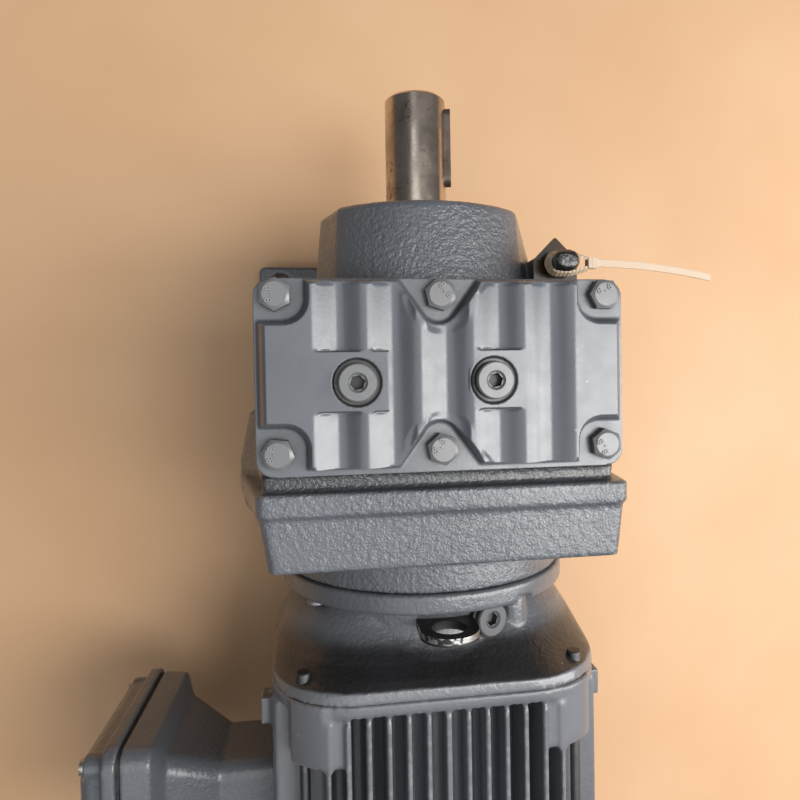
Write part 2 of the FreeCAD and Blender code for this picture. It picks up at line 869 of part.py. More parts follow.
def output_shaft():
    face, tip = snout_face + 3.0, snout_face + 3.0 + shaft_length
    gear_seat = shaft_collar_r + 1.0
    gear_back = output_gear_front - output_face
    groove = rear_bearing[2] + 0.2
    profile = [
        (tip, 0), (tip, shaft_r - shaft_chamfer), (tip - shaft_chamfer, shaft_r), (face, shaft_r),
        (face, shaft_collar_r), (front_bearing_back, shaft_collar_r), (front_bearing_back, shaft_shoulder_r),
        (output_gear_front, shaft_shoulder_r), (output_gear_front, gear_seat), (gear_back + 1, gear_seat),
        (gear_back + 1, shaft_r), (partition_front, shaft_r), (partition_front, shaft_rear_r),
        (partition_front - groove, shaft_rear_r), (partition_front - groove, shaft_rear_r - 1),
        (partition_front - groove - 1.4, shaft_rear_r - 1), (partition_front - groove - 1.4, shaft_rear_r),
        (partition_back, shaft_rear_r), (partition_back, 0),
    ]
    shaft = turned(profile)
    thread = round_y(centre_thread_r, tip - centre_thread_depth, tip + 1)
    return shaft.cut([thread, keyway(seat_gap), gear_keyway()])


def key_span():
    tip = snout_face + 3.0 + shaft_length
    return tip - key_end_gap - key_length, tip - key_end_gap


def rounded_key(length_from, length_to, width, x0, x1):
    """Key with round ends, standing along +X."""
    r = width / 2
    middle = box(x0, x1, length_from + r, length_to - r, -r, r)
    ends = [Part.makeCylinder(r, x1 - x0, V(x0, y, 0), V(1, 0, 0)) for y in (length_from + r, length_to - r)]
    return middle.multiFuse(ends).removeSplitter()


def keyway(gap):
    y0, y1 = key_span()
    slot = rounded_key(y0 - gap, y1 + gap, key_width + 2 * gap, shaft_r - key_depth, shaft_r + 5)
    return turned_about_y(slot, key_turn)


def output_key():
    y0, y1 = key_span()
    key = rounded_key(y0, y1, key_width, shaft_r - key_depth, shaft_r - key_depth + key_height)
    return turned_about_y(key, key_turn)


def gear_key_span():
    middle = output_mesh()
    return middle - 14.0, middle + 14.0


def gear_keyway():
    y0, y1 = gear_key_span()
    return rounded_key(y0 - seat_gap, y1 + seat_gap, 12.0 + 2 * seat_gap, shaft_collar_r + 1 - 5.0,
                       shaft_collar_r + 5)


def gear_key():
    y0, y1 = gear_key_span()
    return rounded_key(y0, y1, 12.0, shaft_collar_r + 1 - 5.0, shaft_collar_r + 1 + 3.0)


def output_gear():
    y1 = output_gear_front
    y0 = y1 - output_face
    gear = helical_teeth(output_teeth, output_module, y0, y1, toward_counter(), 1, output_mesh(), 1)
    bore = round_y(shaft_collar_r + 1 + seat_gap, y0 - 1, y1 + 1)
    slot = box(0, shaft_collar_r + 1 + 3.0 + seat_gap, y0 - 1, y1 + 1, -6.0 - seat_gap, 6.0 + seat_gap)
    rim = output_teeth * output_module / 2 - output_gear_rim
    web = ring_y(rim, output_hub_r, y1 - output_web_recess, y1 + 1).fuse(
        ring_y(rim, output_hub_r, y0 - 1, y0 + output_web_recess))
    return gear.cut([bore, slot, web])


def output_spacer():
    return ring_y(shaft_collar_r + 4, shaft_r + seat_gap, partition_front, output_gear_front - output_face)


def output_retaining_ring():
    y = partition_front - rear_bearing[2] - 0.2
    return ring_y(shaft_rear_r + 3.0, shaft_rear_r - 1 + seat_gap, y - 1.3, y - 0.1)


def output_oil_seal():
    """Shaft seal: outer shell, web and lip, its spring side inwards."""
    outer = front_bearing[1]
    y1 = snout_face - 0.3
    y0 = y1 - seal_width
    lip = shaft_collar_r + running_gap
    profile = [(y1, outer), (y1, lip + 2.5), (y1 - 1.6, lip + 1.2), (y1 - 4.0, lip + 3.4), (y1 - 4.6, lip),
               (y1 - 6.0, lip), (y0 + 1.0, lip + 3.0), (y0 + 1.0, lip + 5.0), (y1 - 3.0, lip + 6.0),
               (y1 - 3.0, outer - 3.0), (y0, outer - 3.0), (y0, outer)]
    return turned(profile)


def bearing_snap_ring():
    y = front_bearing_back + front_bearing[2]
    return ring_y(front_bearing[1], front_bearing[1] - 5.0, y + 0.1, y + 2.4)


# Countershaft line

def countershaft():
    gear_end = counter_gear_front - counter_gear_face
    seat = counter_bearing[0]
    nose = counter_front_bearing[0]
    shoulder = seat + 3.0
    front = counter_front + counter_front_bearing[2]
    pinion0 = output_mesh() - pinion_face / 2
    pinion1 = output_mesh() + pinion_face / 2
    body_r = pinion_teeth * output_module / 2 - 1.25 * output_module - 0.6
    profile = [(front + 1, 0), (front + 1, nose - 1), (front, nose), (counter_front, nose),
               (counter_front, body_r + 2), (pinion1, body_r + 2), (pinion1, body_r), (pinion0, body_r),
               (pinion0, shoulder), (partition_front, shoulder), (partition_front, seat),
               (gear_end - 4.0, seat), (gear_end - 5.0, seat - 1), (gear_end - 5.0, 0)]
    shaft = turned(profile)
    teeth = helical_teeth(pinion_teeth, output_module, pinion0, pinion1, from_counter(pinion_teeth), -1,
                          output_mesh(), 3)
    key_slot = rounded_key(gear_end + 3 - seat_gap, counter_gear_front - 3 + seat_gap, 6 + 2 * seat_gap,
                           seat - 3.5, seat + 5)
    return moved_to_counter(shaft.fuse(teeth).cut(key_slot))


def countershaft_gear():
    y1 = counter_gear_front
    y0 = y1 - counter_gear_face
    gear = helical_teeth(counter_gear_teeth, input_module, y0, y1, from_counter(counter_gear_teeth), -1,
                         input_mesh(), 1)
    bore = round_y(counter_bearing[0] + seat_gap, y0 - 1, y1 + 1)
    slot = box(0, counter_bearing[0] + 2.8 + seat_gap, y0 - 1, y1 + 1, -3.0 - seat_gap, 3.0 + seat_gap)
    rim = counter_gear_teeth * input_module / 2 - counter_gear_rim
    web = ring_y(rim, counter_hub_r, y1 - counter_web_recess, y1 + 1).fuse(
        ring_y(rim, counter_hub_r, y0 - 1, y0 + counter_web_recess))
    return moved_to_counter(gear.cut([bore, slot, web]))


def countershaft_key():
    y0, y1 = counter_gear_front - counter_gear_face + 3, counter_gear_front - 3
    seat = counter_bearing[0]
    return moved_to_counter(rounded_key(y0, y1, 6.0, seat - 3.5, seat + 2.5))


def countershaft_spacer():
    y0 = counter_gear_front
    y1 = partition_front - counter_bearing[2]
    return ring_y(counter_bearing[0] + 4.5, counter_bearing[0] + seat_gap, y0, y1, counter_x, counter_z)


def countershaft_nut():
    """Round nut that clamps the gear against its spacer."""
    y1 = counter_gear_front - counter_gear_face
    nut = ring_y(counter_bearing[0] + 6, counter_bearing[0] + seat_gap, y1 - 4.0, y1)
    slots = [turned_about_y(box(counter_bearing[0] + 4, counter_bearing[0] + 8, y1 - 5, y1 + 1, -2, 2), a)
             for a in (0, 90, 180, 270)]
    return moved_to_counter(nut.cut(slots))


def bore_cap():
    """Pressed closing cap of the countershaft's front bore."""
    r = counter_front_bearing[1]
    y1 = counter_boss_face
    profile = [(y1 - 4.5, r), (y1 - 0.3, r), (y1 - 0.3, r - 2.5), (y1 - 2.6, r - 3.5), (y1 - 2.6, 0),
               (y1 - 4.0, 0), (y1 - 4.0, r - 2.5), (y1 - 4.5, r - 2.5)]
    return turned(profile, counter_x, counter_z)


# Motor

def flange_bolt_places():
    turns = [math.radians(flange_bolt_angle + quarter * 90.0) for quarter in range(4)]
    return [(flange_bolt_circle_r * math.cos(a), flange_bolt_circle_r * math.sin(a)) for a in turns]


def shield_section(y, half_width, half_height, corner):
    """Rounded outline of the motor's front shield at one station."""
    w, h = half_width, half_height
    return rounded_wire([V(w, y, -h), V(w, y, h), V(-w, y, h), V(-w, y, -h)], [corner] * 4)


def motor_flange():
    """Front shield: flange ring, round neck, and the shoulders that widen to the motor's frame."""
    ring_back = flange_joint - flange_ring
    rim = 0.8
    ring = turned([(flange_joint, 0), (flange_joint, flange_ring_r - rim), (flange_joint - rim, flange_ring_r),
                   (ring_back + rim, flange_ring_r), (ring_back, flange_ring_r - rim), (ring_back, 0)])
    spigot = round_y(spigot_r, flange_joint - 1, flange_joint + spigot_depth)
    neck = round_y(shield_neck_r, shield_end + 4, ring_back + 1)
    full = frame_half
    stations = [(ring_back + 1.0, full - 21, shield_neck_r - 8, 48.0),
                (ring_back - 6.0, full - 14, shield_neck_r - 7, 50.0),
                (ring_back - 14.0, full - 6, shield_neck_r - 4, 50.0),
                (ring_back - 24.0, full - 0.5, shield_neck_r + 4, 52.0),
                (shield_end + 6.0, full, full - 1, 44.0), (shield_end, full, full, 42.0)]
    sections = [shield_section(*station) for station in stations]
    body = ring.multiFuse([spigot, neck] + [tapered(a, b) for a, b in zip(sections, sections[1:])])
    plug_boss = Part.makeCylinder(plug_head_r + 0.5, 20.0, V(0, 0, -20.0))
    plug_boss.Placement = flange_plug_place()
    body = body.fuse(plug_boss)
    thread = Part.makeCylinder(plug_thread_r + seat_gap, 15.0, V(0, 0, -14.0))
    thread.Placement = flange_plug_place()
    bearing_back = motor_bearing_front() - motor_bearing[2]
    spot = Part.makeCylinder(plug_head_r + 1.3, 20.0)
    spot.Placement = flange_plug_place()
    cuts = [thread, spot,
            round_y(motor_bearing[1] + running_gap, bearing_back, flange_joint + spigot_depth + 1),
            round_y(48.0, shield_end - 1, bearing_back - 6.0),
            round_y(motor_bearing[1] - 4, shield_end - 1, bearing_back + 1),
            round_y(frame_tube_r - frame_wall - 1, shield_end - 1, shield_end + 12.0)]
    for x, z in flange_bolt_places():
        cuts.append(round_y(flange_bolt_r + 0.4, ring_back - 1, flange_joint + 1, x, z))
        cuts.append(round_y(flange_notch_r, ring_back - tool_room, ring_back + flange_notch, x, z))
    for x, z in tie_places():
        cuts.append(round_y(3.2, shield_end - 1, shield_end + 20, x, z))
        cuts.append(round_y(6.5, shield_end + 12, shield_end + 40, x, z))
    return body.cut(cuts)


def motor_bearing_front():
    return flange_joint - 12.0


def flange_screws():
    """Socket screws that hold the motor's flange to the gear housing."""
    seat = flange_joint - flange_ring + flange_notch
    screws = []
    for x, z in flange_bolt_places():
        head = round_y(flange_bolt_r + 2.0, seat - 2 * flange_bolt_r, seat, x, z)
        shank = round_y(flange_bolt_r, seat - 1, flange_joint + 12.0, x, z)
        socket = hexagon(5.0, -1.0, 3.5, 0, 0, 0)
        socket.rotate(V(0, 0, 0), V(1, 0, 0), -90)
        socket.translate(V(x, seat - 2 * flange_bolt_r, z))
        screws.append(head.fuse(shank).cut(socket))
    return screws


def lug_plate_back():
    return flange_joint - flange_ring - lug_setback - lug_thickness


def motor_lifting_lug():
    """Steel lifting plate on the flange's neck, its hole along Y, its top rounded."""
    y0 = lug_plate_back()
    z0, z1 = shield_neck_r - 3.0, lug_top
    half = lug_half_width
    points = [V(lug_x - half, y0, z0), V(lug_x + half, y0, z0), V(lug_x + half, y0, z1),
              V(lug_x - half, y0, z1)]
    plate = Part.Face(rounded_wire(points, [0, 0, half - 1, half - 1])).extrude(V(0, lug_thickness, 0))
    hole = round_y(lug_hole_r, y0 - 1, y0 + lug_thickness + 1, lug_x, lug_top - half)
    clear = Part.makeCylinder(plug_head_r + 0.5 + seat_gap, 28.0, V(0, 0, -20.0))
    clear.Placement = flange_plug_place()
    return plate.cut([hole, clear, round_y(shield_neck_r, y0 - 1, y0 + lug_thickness + 1)])


def motor_oil_seal():
    outer = motor_bearing[1]
    y1 = flange_joint - 1.0
    lip = motor_shaft_r + running_gap
    profile = [(y1, outer), (y1, outer - 3), (y1 - 5, outer - 3), (y1 - 5, lip + 5), (y1 - 2, lip + 4),
               (y1 - 3, lip), (y1 - 4.5, lip), (y1 - 6.5, lip + 2.5), (y1 - 8, lip + 3), (y1 - 8, outer)]
    return turned(profile)


def frame_front():
    return shield_end


def frame_back():
    return shield_end - frame_length


def frame_fins():
    """Cooling fins: upright above and below, level on both sides, trimmed to a rounded square."""
    y0, y1 = frame_back() + 6.0, frame_front() - 8.0
    reach = frame_half + 5
    fins = []
    count = int((frame_tube_r * 0.82) // fin_pitch)
    for i in range(-count, count + 1):
        p = i * fin_pitch
        start = math.sqrt(frame_tube_r ** 2 - p ** 2) - 2.0
        t = fin_thickness / 2
        fins.append(box(p - t, p + t, y0, y1, start, reach))
        fins.append(box(p - t, p + t, y0, y1, -reach, -start))
        fins.append(box(start, reach, y0, y1, p - t, p + t))
        if abs(p) > box_half_height - neck_inset + 2.0:
            fins.append(box(-reach, -start, y0, y1, p - t, p + t))
    return fins


def stator_housing():
    y0, y1 = frame_back(), frame_front()
    h = frame_half
    outline = [(h, -h), (h, h), (-h, h), (-h, -h)]
    envelope = rounded_prism_y(outline, [40] * 4, y0, y1)
    tube = round_y(frame_tube_r, y0, y1)
    collars = [rounded_prism_y(outline, [44] * 4, y1 - 6.0, y1), rounded_prism_y(outline, [44] * 4, y0, y0 + 6.0)]
    half = box_half_height - neck_inset + 4.0
    seat = box(-frame_half, -frame_tube_r + 12, box_middle() - half, box_middle() + half, -half, half)
    pads = [box(x - pad_half_width, x + pad_half_width, y1 - pad_length, y1, 50.0, frame_half - 2.5)
            for x in (-pad_at, pad_at)]
    tab_inner = frame_half - 4.0
    tab_outer = frame_half + tab_out
    tabs = [box(x, x + tab_outer - tab_inner, y1 - tab_back - tab_length, y1 - tab_back, tab_top - 12.0, tab_top)
            for x in (tab_inner, -tab_outer)]
    body = tube.multiFuse([f.common(envelope) for f in frame_fins()] + collars)
    body = body.multiFuse([p.common(envelope) for p in pads] + [seat] + tabs)
    bore = round_y(frame_tube_r - frame_wall, y0 - 1, y1 + 1)
    wide, high = wire_way
    wires = box(-frame_half - 1, -frame_tube_r + 14, box_middle() - wide / 2, box_middle() + wide / 2,
                -high / 2, high / 2)
    holes = [round_y(2.9, y0 - 1, y1 + 1, x, z) for x, z in tie_places()]
    return body.cut([bore, wires] + holes)


def tie_places():
    a = frame_half - tie_inset
    return [(a, a), (-a, a), (-a, -a), (a, -a)]


def tie_screws():
    """Long screws that clamp the frame between its shields."""
    screws = []
    for x, z in tie_places():
        head = round_y(5.0, shield_end + 12.0, shield_end + 16.0, x, z)
        shank = round_y(2.5, frame_back() - 8.0, shield_end + 12.5, x, z)
        screws.append(head.fuse(shank))
    return screws


def core_middle():
    return (frame_front() + frame_back()) / 2 - 2.0


def stator_core():
    y0, y1 = core_middle() - stator_length / 2, core_middle() + stator_length / 2
    core = round_y(frame_tube_r - frame_wall, y0, y1).cut(round_y(stator_bore_r, y0 - 1, y1 + 1))
    slots = []
    for x, z in ring_places(24, stator_bore_r + 9.0, 0.0):
        slots.append(round_y(3.4, y0 - 1, y1 + 1, x, z))
    return core.cut(slots)


def stator_windings():
    """Copper end turns at both ends of the core, and the slot bundles that join them."""
    y0, y1 = core_middle() - stator_length / 2, core_middle() + stator_length / 2
    inner, outer = stator_bore_r + 2.0, frame_tube_r - frame_wall - winding_gap
    ends = []
    for a, b in ((y1, y1 + winding_overhang), (y0 - winding_overhang, y0)):
        low, high = (a, b)
        profile = [(low, inner), (low, outer), (high, outer - 2), (high, inner + 2)]
        if b == y0:
            profile = [(high, inner), (high, outer), (low, outer - 2), (low, inner + 2)]
        ends.append(turned(profile))
    bundles = [round_y(3.2, y0 - 1, y1 + 1, x, z) for x, z in ring_places(24, stator_bore_r + 9.0, 0.0)]
    return ends[0].multiFuse([ends[1]] + bundles)


def rotor_core():
    """Laminated rotor with cast end rings and their cooling lugs."""
    r = stator_bore_r - rotor_gap
    y0, y1 = core_middle() - stator_length / 2, core_middle() + stator_length / 2
    body = round_y(r, y0, y1)
    rings = [round_y(r - 2, y1, y1 + 9), round_y(r - 2, y0 - 9, y0)]
    lugs = []
    for x, z in ring_places(8, r - 7, 22.5):
        lugs += [round_y(3.0, y1 + 8, y1 + 15, x, z), round_y(3.0, y0 - 15, y0 - 8, x, z)]
    bore = round_y(motor_shaft_r + 3 + seat_gap, y0 - 30, y1 + 30)
    open_ends = ring_y(r - 12, motor_shaft_r, y1, y1 + 10).fuse(ring_y(r - 12, motor_shaft_r, y0 - 10, y0))
    return body.multiFuse(rings + lugs).cut([bore, open_ends])


def rear_bearing_front():
    return frame_back() + 8.0


def motor_shaft():
    tip = input_pinion_front + 1.0
    pinion_end = input_pinion_front - input_face
    front = motor_bearing_front()
    back = front - motor_bearing[2]
    core0, core1 = core_middle() - stator_length / 2, core_middle() + stator_length / 2
    end_front = rear_bearing_front()
    end_back = end_front - fan_end_bearing[2]
    fan_seat = 8.0
    profile = [
        (tip, 0), (tip, pinion_seat_r - 1), (tip - 1, pinion_seat_r), (pinion_end, pinion_seat_r),
        (pinion_end, motor_shaft_r - 1.5), (pinion_end - 16, motor_shaft_r - 1.5), (pinion_end - 17, motor_shaft_r),
        (front, motor_shaft_r), (front, motor_bearing[0]), (back, motor_bearing[0]),
        (back, motor_bearing[0] + 3.5), (core1 + 18, motor_bearing[0] + 3.5), (core1 + 18, motor_shaft_r + 3),
        (core0 - 2, motor_shaft_r + 3), (core0 - 2, fan_end_bearing[0] + 3), (end_front, fan_end_bearing[0] + 3),
        (end_front, fan_end_bearing[0]), (end_back, fan_end_bearing[0]), (end_back, fan_seat),
        (fan_back() - 2.0, fan_seat), (fan_back() - 3.0, fan_seat - 1), (fan_back() - 3.0, 0),
    ]
    return turned(profile)


def input_pinion():
    y1 = input_pinion_front
    y0 = y1 - input_face
    teeth = helical_teeth(input_teeth, input_module, y0, y1, toward_counter(), 1, input_mesh(), 3)
    return teeth.cut(round_y(pinion_seat_r + running_gap, y0 - 1, y1 + 1))


def shield_back():
    return frame_back() - rear_shield


def rear_end_shield():
    """Fan-end shield: square ears against the frame, and behind them a round rim inside the fan cover."""
    y1, y0 = frame_back(), shield_back()
    h = frame_half - 1.0
    rim_r = fan_cover_r - sheet - seat_gap
    plate = rounded_prism_y([(h, -h), (h, h), (-h, h), (-h, -h)], [44] * 4, y1 - ear_thickness, y1)
    rim = turned([(y1 - 1, 0), (y1 - 1, rim_r), (y0 + 3, rim_r), (y0, rim_r - 3), (y0, 0)])
    spigot = round_y(frame_tube_r - frame_wall - running_gap, y1 - 1, y1 + 4)
    hub = round_y(fan_end_bearing[1] + 6, y0 - 2, y1 + 10)
    body = plate.multiFuse([rim, spigot, hub])
    bearing_end = rear_bearing_front() - fan_end_bearing[2]
    cuts = [round_y(fan_end_bearing[1] + running_gap, bearing_end - 0.5, y1 + 11),
            round_y(fan_end_bearing[0] + 1.0, y0 - 3, y1 + 11)]
    for x, z in tie_places():
        cuts.append(round_y(2.6, y1 - ear_thickness - 1, y1 + 1, x, z))
    for x, z in cover_screw_places(1.0):
        cuts.append(Part.makeCylinder(2.1, 12.0, V(x * (rim_r - 11), cover_screw_y(), z * (rim_r - 11)), V(x, 0, z)))
    return body.cut(cuts)


def cover_screw_y():
    return frame_back() - ear_thickness - 4.0


def cover_screw_places(r):
    return [(r, 0), (0, r), (-r, 0), (0, -r)]


def preload_washer():
    """Wavy washer that preloads the fan-end bearing, drawn flat."""
    y = rear_bearing_front() - fan_end_bearing[2]
    return ring_y(fan_end_bearing[1] - 0.5, fan_end_bearing[1] - 4.0, y - 0.45, y - 0.05)


def fan_front():
    return shield_back() - 6.0


def fan_back():
    return fan_front() - 26.0


def cooling_fan():
    """Radial fan: hub, back plate and straight blades, so that it blows the same way in both turns."""
    hub = round_y(17.0, fan_back(), fan_front())
    plate = round_y(66.0, fan_front() - 2.6, fan_front() - 0.6)
    blades = []
    for i in range(8):
        blade = box(15.0, 68.0, fan_back() + 2.0, fan_front() - 1.0, -1.1, 1.1)
        blades.append(turned_about_y(blade, 45.0 * i))
    bore = round_y(8.0 + running_gap, fan_back() - 1, fan_front() + 1)
    return hub.multiFuse([plate] + blades).cut(bore)


def fan_retaining_ring():
    return ring_y(12.0, 8.0 + running_gap, fan_back() - 1.4, fan_back() - 0.1)


def fan_cover_back():
    return fan_back() - 14.0


def fan_cover():
    """Pressed sheet cover with a ring grille in its end wall."""
    y1, y0 = frame_back() - ear_thickness - seat_gap, fan_cover_back()
    r = fan_cover_r
    bend = 8.0
    profile = [(y1, r), (y0 + bend, r), (y0, r - bend), (y0, 0), (y0 + sheet, 0), (y0 + sheet, r - bend - 0.7),
               (y0 + bend + 0.4, r - sheet), (y1, r - sheet)]
    cover = turned(profile)
    cuts = []
    spokes = 6
    for ring in range(4):
        inner = 16.0 + 14.0 * ring
        slot_ring = ring_y(inner + 8.0, inner, y0 - 1, y0 + sheet + 1)
        gaps = [turned_about_y(box(0, r, y0 - 2, y0 + sheet + 2, -2.2, 2.2), 360.0 * i / spokes)
                for i in range(spokes)]
        cuts.append(slot_ring.cut(gaps))
    screw_r = 2.4
    for x, z in cover_screw_places(1.0):
        cuts.append(Part.makeCylinder(screw_r, 30.0, V(x * 70, cover_screw_y(), z * 70), V(x, 0, z)))
    return cover.cut(cuts)


def fan_cover_screws():
    """Screws through the cover's skirt into the rear shield's rim."""
    screws = []
    y = cover_screw_y()
    for x, z in cover_screw_places(1.0):
        seat = fan_cover_r + seat_gap
        start = fan_cover_r - 9.0
        head = Part.makeCylinder(4.0, 2.6, V(x * seat, y, z * seat), V(x, 0, z))
        shank = Part.makeCylinder(2.0, seat - start + 0.5, V(x * start, y, z * start), V(x, 0, z))
        screws.append(head.fuse(shank))
    return screws


# Terminal box

def box_back():
    return box_front - box_length


def box_middle():
    return box_front - box_length / 2


def lid_plane():
    return box_out + lid_depth


def base_plane():
    return lid_plane() + box_gasket


def side_wire(x, inset, r):
    """Rounded outline of the terminal box at one X plane."""
    h = box_half_height - inset
    y0, y1 = box_back() + inset, box_front - inset
    return rounded_wire([V(x, y0, -h), V(x, y1, -h), V(x, y1, h), V(x, y0, h)], [r] * 4)


def side_shell(x0, x1, inset, r):
    """Block of the terminal box between two X planes."""
    return Part.Face(side_wire(x0, inset, r)).extrude(V(x1 - x0, 0, 0))


def box_screw_places():
    inset = 8.5
    h = box_half_height - inset
    return [(y, z) for y in (box_back() + inset, box_front - inset) for z in (-h, h)]


def round_x(r, x0, x1, y, z):
    """Cylinder along X from x0 to x1."""
    return Part.makeCylinder(r, x1 - x0, V(x0, y, z), V(1, 0, 0))


def gland_places():
    return [box_middle() + 22.0, box_middle() - 22.0]


def gland_x():
    return (box_floor + base_plane()) / 2


def terminal_box_base():
    """Base of the box: straight sides, then a funnel down to the hollow neck on the frame."""
    r = box_corner_r
    steps = [side_wire(base_plane(), 0.0, r), side_wire(box_floor, 1.2, r), side_wire(box_in, funnel_waist, r),
             side_wire(funnel_end, neck_inset, r)]
    parts = [tapered(low, high) for low, high in zip(steps, steps[1:])]
    neck = side_shell(funnel_end - 1.0, -frame_half, neck_inset, r)
    outer = parts[0].multiFuse(parts[1:] + [neck])
    inner = side_shell(base_plane() - 1.0, box_floor, box_wall + 1.2, r - box_wall)
    hollow = side_shell(box_floor - 1.0, -frame_half + 1.0, neck_inset + box_wall, r - box_wall)
    body = outer.cut([inner, hollow])
    low = -box_half_height
    bosses = [round_z(gland_r + 2.4, low, low + 11.0, gland_x(), y) for y in gland_places()]
    bosses += [round_x(6.0, base_plane(), box_floor + 1.0, y, z) for y, z in box_screw_places()]
    body = body.multiFuse([boss.common(outer) for boss in bosses])
    cuts = [round_x(2.1, base_plane() - 1.0, base_plane() + 10.0, y, z) for y, z in box_screw_places()]
    cuts += [round_z(gland_r + seat_gap, low - 1, low + 12.0, gland_x(), y) for y in gland_places()]
    return body.cut(cuts)


def terminal_box_gasket():
    ring = side_shell(lid_plane(), base_plane(), 0.8, box_corner_r - 1.0)
    inner = side_shell(lid_plane() - 1, base_plane() + 1, box_wall + 1.2, box_corner_r - box_wall)
    holes = [round_x(2.4, lid_plane() - 1, base_plane() + 1, y, z) for y, z in box_screw_places()]
    return ring.cut([inner] + holes)


def terminal_box_lid():
    """Lid: a flange that stands out past the base, and a raised middle with a rolled edge."""
    r = box_corner_r
    step = lid_plane() - lid_flange
    flange = side_shell(step, lid_plane(), -lid_flange_out, r + lid_flange_out)
    levels = [side_wire(step + 1.0, lid_step, r), side_wire(box_out + 5.0, lid_step + 0.8, r),
              side_wire(box_out + 1.6, lid_step + 3.0, r - 2.0), side_wire(box_out, lid_step + 6.0, r - 4.0)]
    parts = [tapered(high, low) for low, high in zip(levels, levels[1:])]
    lid = flange.multiFuse(parts)
    lid = lid.cut(side_shell(box_out + box_wall, lid_plane() + 1.0, box_wall + 3.5, r - 5.0))
    posts = [round_x(6.2, box_out + box_wall - 1.0, lid_plane(), y, z) for y, z in box_screw_places()]
    lid = lid.multiFuse(posts)
    cuts = []
    for y, z in box_screw_places():
        cuts.append(round_x(2.6, box_out - 1, lid_plane() + 1, y, z))
        cuts.append(round_x(4.6, box_out - 1, screw_seat(), y, z))
    return lid.cut(cuts)


def screw_seat():
    return box_out + 4.0


def terminal_box_screws():
    screws = []
    for y, z in box_screw_places():
        head = round_x(4.0, screw_seat() - 3.2, screw_seat(), y, z)
        shank = round_x(2.0, screw_seat() - 0.5, base_plane() + 9.0, y, z)
        slot = box(screw_seat() - 4.0, screw_seat() - 2.2, y - 0.6, y + 0.6, z - 5, z + 5)
        screws.append(head.fuse(shank).cut(slot))
    return screws


def terminal_block():
    """Moulded block that carries the six terminals, over the hole of the neck."""
    depth, length, height = block_size
    face = box_floor - depth
    y = box_middle()
    block = box(face, box_floor, y - length / 2, y + length / 2, -height / 2, height / 2)
    ribs = [box(face - 4.0, face + 1.0, y + p - 1.2, y + p + 1.2, -height / 2, height / 2) for p in (-9, 9)]
    return block.multiFuse(ribs)


def terminal_studs():
    """Brass studs with their nuts, in two rows of three."""
    face = box_floor - block_size[0]
    studs = []
    for y in (-18, 0, 18):
        for z in (-5.5, 5.5):
            stud = round_x(2.0, face - 4.6, face, box_middle() + y, z)
            nut = hexagon(7.0, 0, 3.2, 0, 0, 0)
            nut.rotate(V(0, 0, 0), V(0, 1, 0), -90)
            nut.translate(V(face, box_middle() + y, z))
            studs.append(stud.fuse(nut))
    return studs


def blanking_plugs():
    """Plastic plugs in the two cable entries, below."""
    plugs = []
    low = -box_half_height
    for y in gland_places():
        head = hexagon(gland_flats, low - 4.0, low, gland_x(), y, 30)
        plugs.append(head.fuse(round_z(gland_r, low - 0.5, low + 10.0, gland_x(), y)))
    return plugs


# Tie and tag

def tie_loop(z, grow):
    """Outline of the strap's loop: round the post's left side, drawn together at the lock head."""
    r = post_half_depth + grow
    left = post_x - post_half_width - grow + r
    right = post_x + post_half_width
    neck = tie_thickness + grow
    a, b = V(left, post_y + r, z), V(left, post_y - r, z)
    c, d = V(right, post_y - r, z), V(tie_head_x + 0.5, post_y - neck, z)
    e, f = V(tie_head_x + 0.5, post_y + neck, z), V(right, post_y + r, z)
    edges = [Part.Arc(a, V(left - r, post_y, z), b).toShape(), Part.makeLine(b, c), Part.makeLine(c, d),
             Part.makeLine(d, e), Part.makeLine(e, f), Part.makeLine(f, a)]
    return Part.Wire(edges)


def cable_tie():
    """Nylon strap: a loop round the post's waist, the lock head and the free tail, bent a little."""
    low, high = tie_height, tie_height + tie_width
    inner = mesh_gap / 2
    outer = inner + tie_thickness
    band = tapered(tie_loop(low, outer + tie_flare), tie_loop(high, outer))
    band = band.cut(tapered(tie_loop(low - 0.01, inner + tie_flare), tie_loop(high + 0.01, inner)))
    h = tie_head / 2
    middle = (low + high) / 2
    head = rounded_box(tie_head_x, tie_head_x + tie_head, post_y - h, post_y + h, middle - 2.3, middle + 2.3, 0.8)
    x0, x1 = tie_head_x + tie_head - 1.0, tie_head_x + tie_head + tie_tail
    w = tie_width / 2
    sag, drop = 1.6, 7.0
    near, half, far = post_y, post_y - drop / 2 + sag, post_y - drop
    edges = [
        Part.Arc(V(x0, near - w, middle), V((x0 + x1) / 2, half - w, middle), V(x1, far - w, middle)).toShape(),
        Part.makeLine(V(x1, far - w, middle), V(x1, far + w, middle)),
        Part.Arc(V(x1, far + w, middle), V((x0 + x1) / 2, half + w, middle), V(x0, near + w, middle)).toShape(),
        Part.makeLine(V(x0, near + w, middle), V(x0, near - w, middle)),
    ]
    tail = Part.Face(Part.Wire(edges)).extrude(V(0, 0, tie_thickness))
    return band.multiFuse([head, tail])


def hang_tag():
    """Blank tag with a pointed end, slipped over the post and resting on its shoulder."""
    x, half = tag_x, tag_half_width
    tip = tag_shoulder + half
    points = [V(x - half, tag_back, post_shoulder), V(x + half, tag_back, post_shoulder),
              V(x + half, tag_shoulder, post_shoulder), V(x, tip, post_shoulder),
              V(x - half, tag_shoulder, post_shoulder)]
    plate = Part.Face(rounded_wire(points, [1.5, 1.5, 2.5, 1.0, 2.5])).extrude(V(0, 0, tag_thickness))
    slot = Part.Face(oval(post_shoulder - 1, mesh_gap)).extrude(V(0, 0, tag_thickness + 2))
    return plate.cut(slot)


# Writing

def bearing_pair(maker, places):
    return [maker(kind, y, x, z) for kind, y, x, z in places]


def output_bearings():
    return [(front_bearing, front_bearing_back, 0.0, 0.0),
            (rear_bearing, partition_front - rear_bearing[2], 0.0, 0.0)]


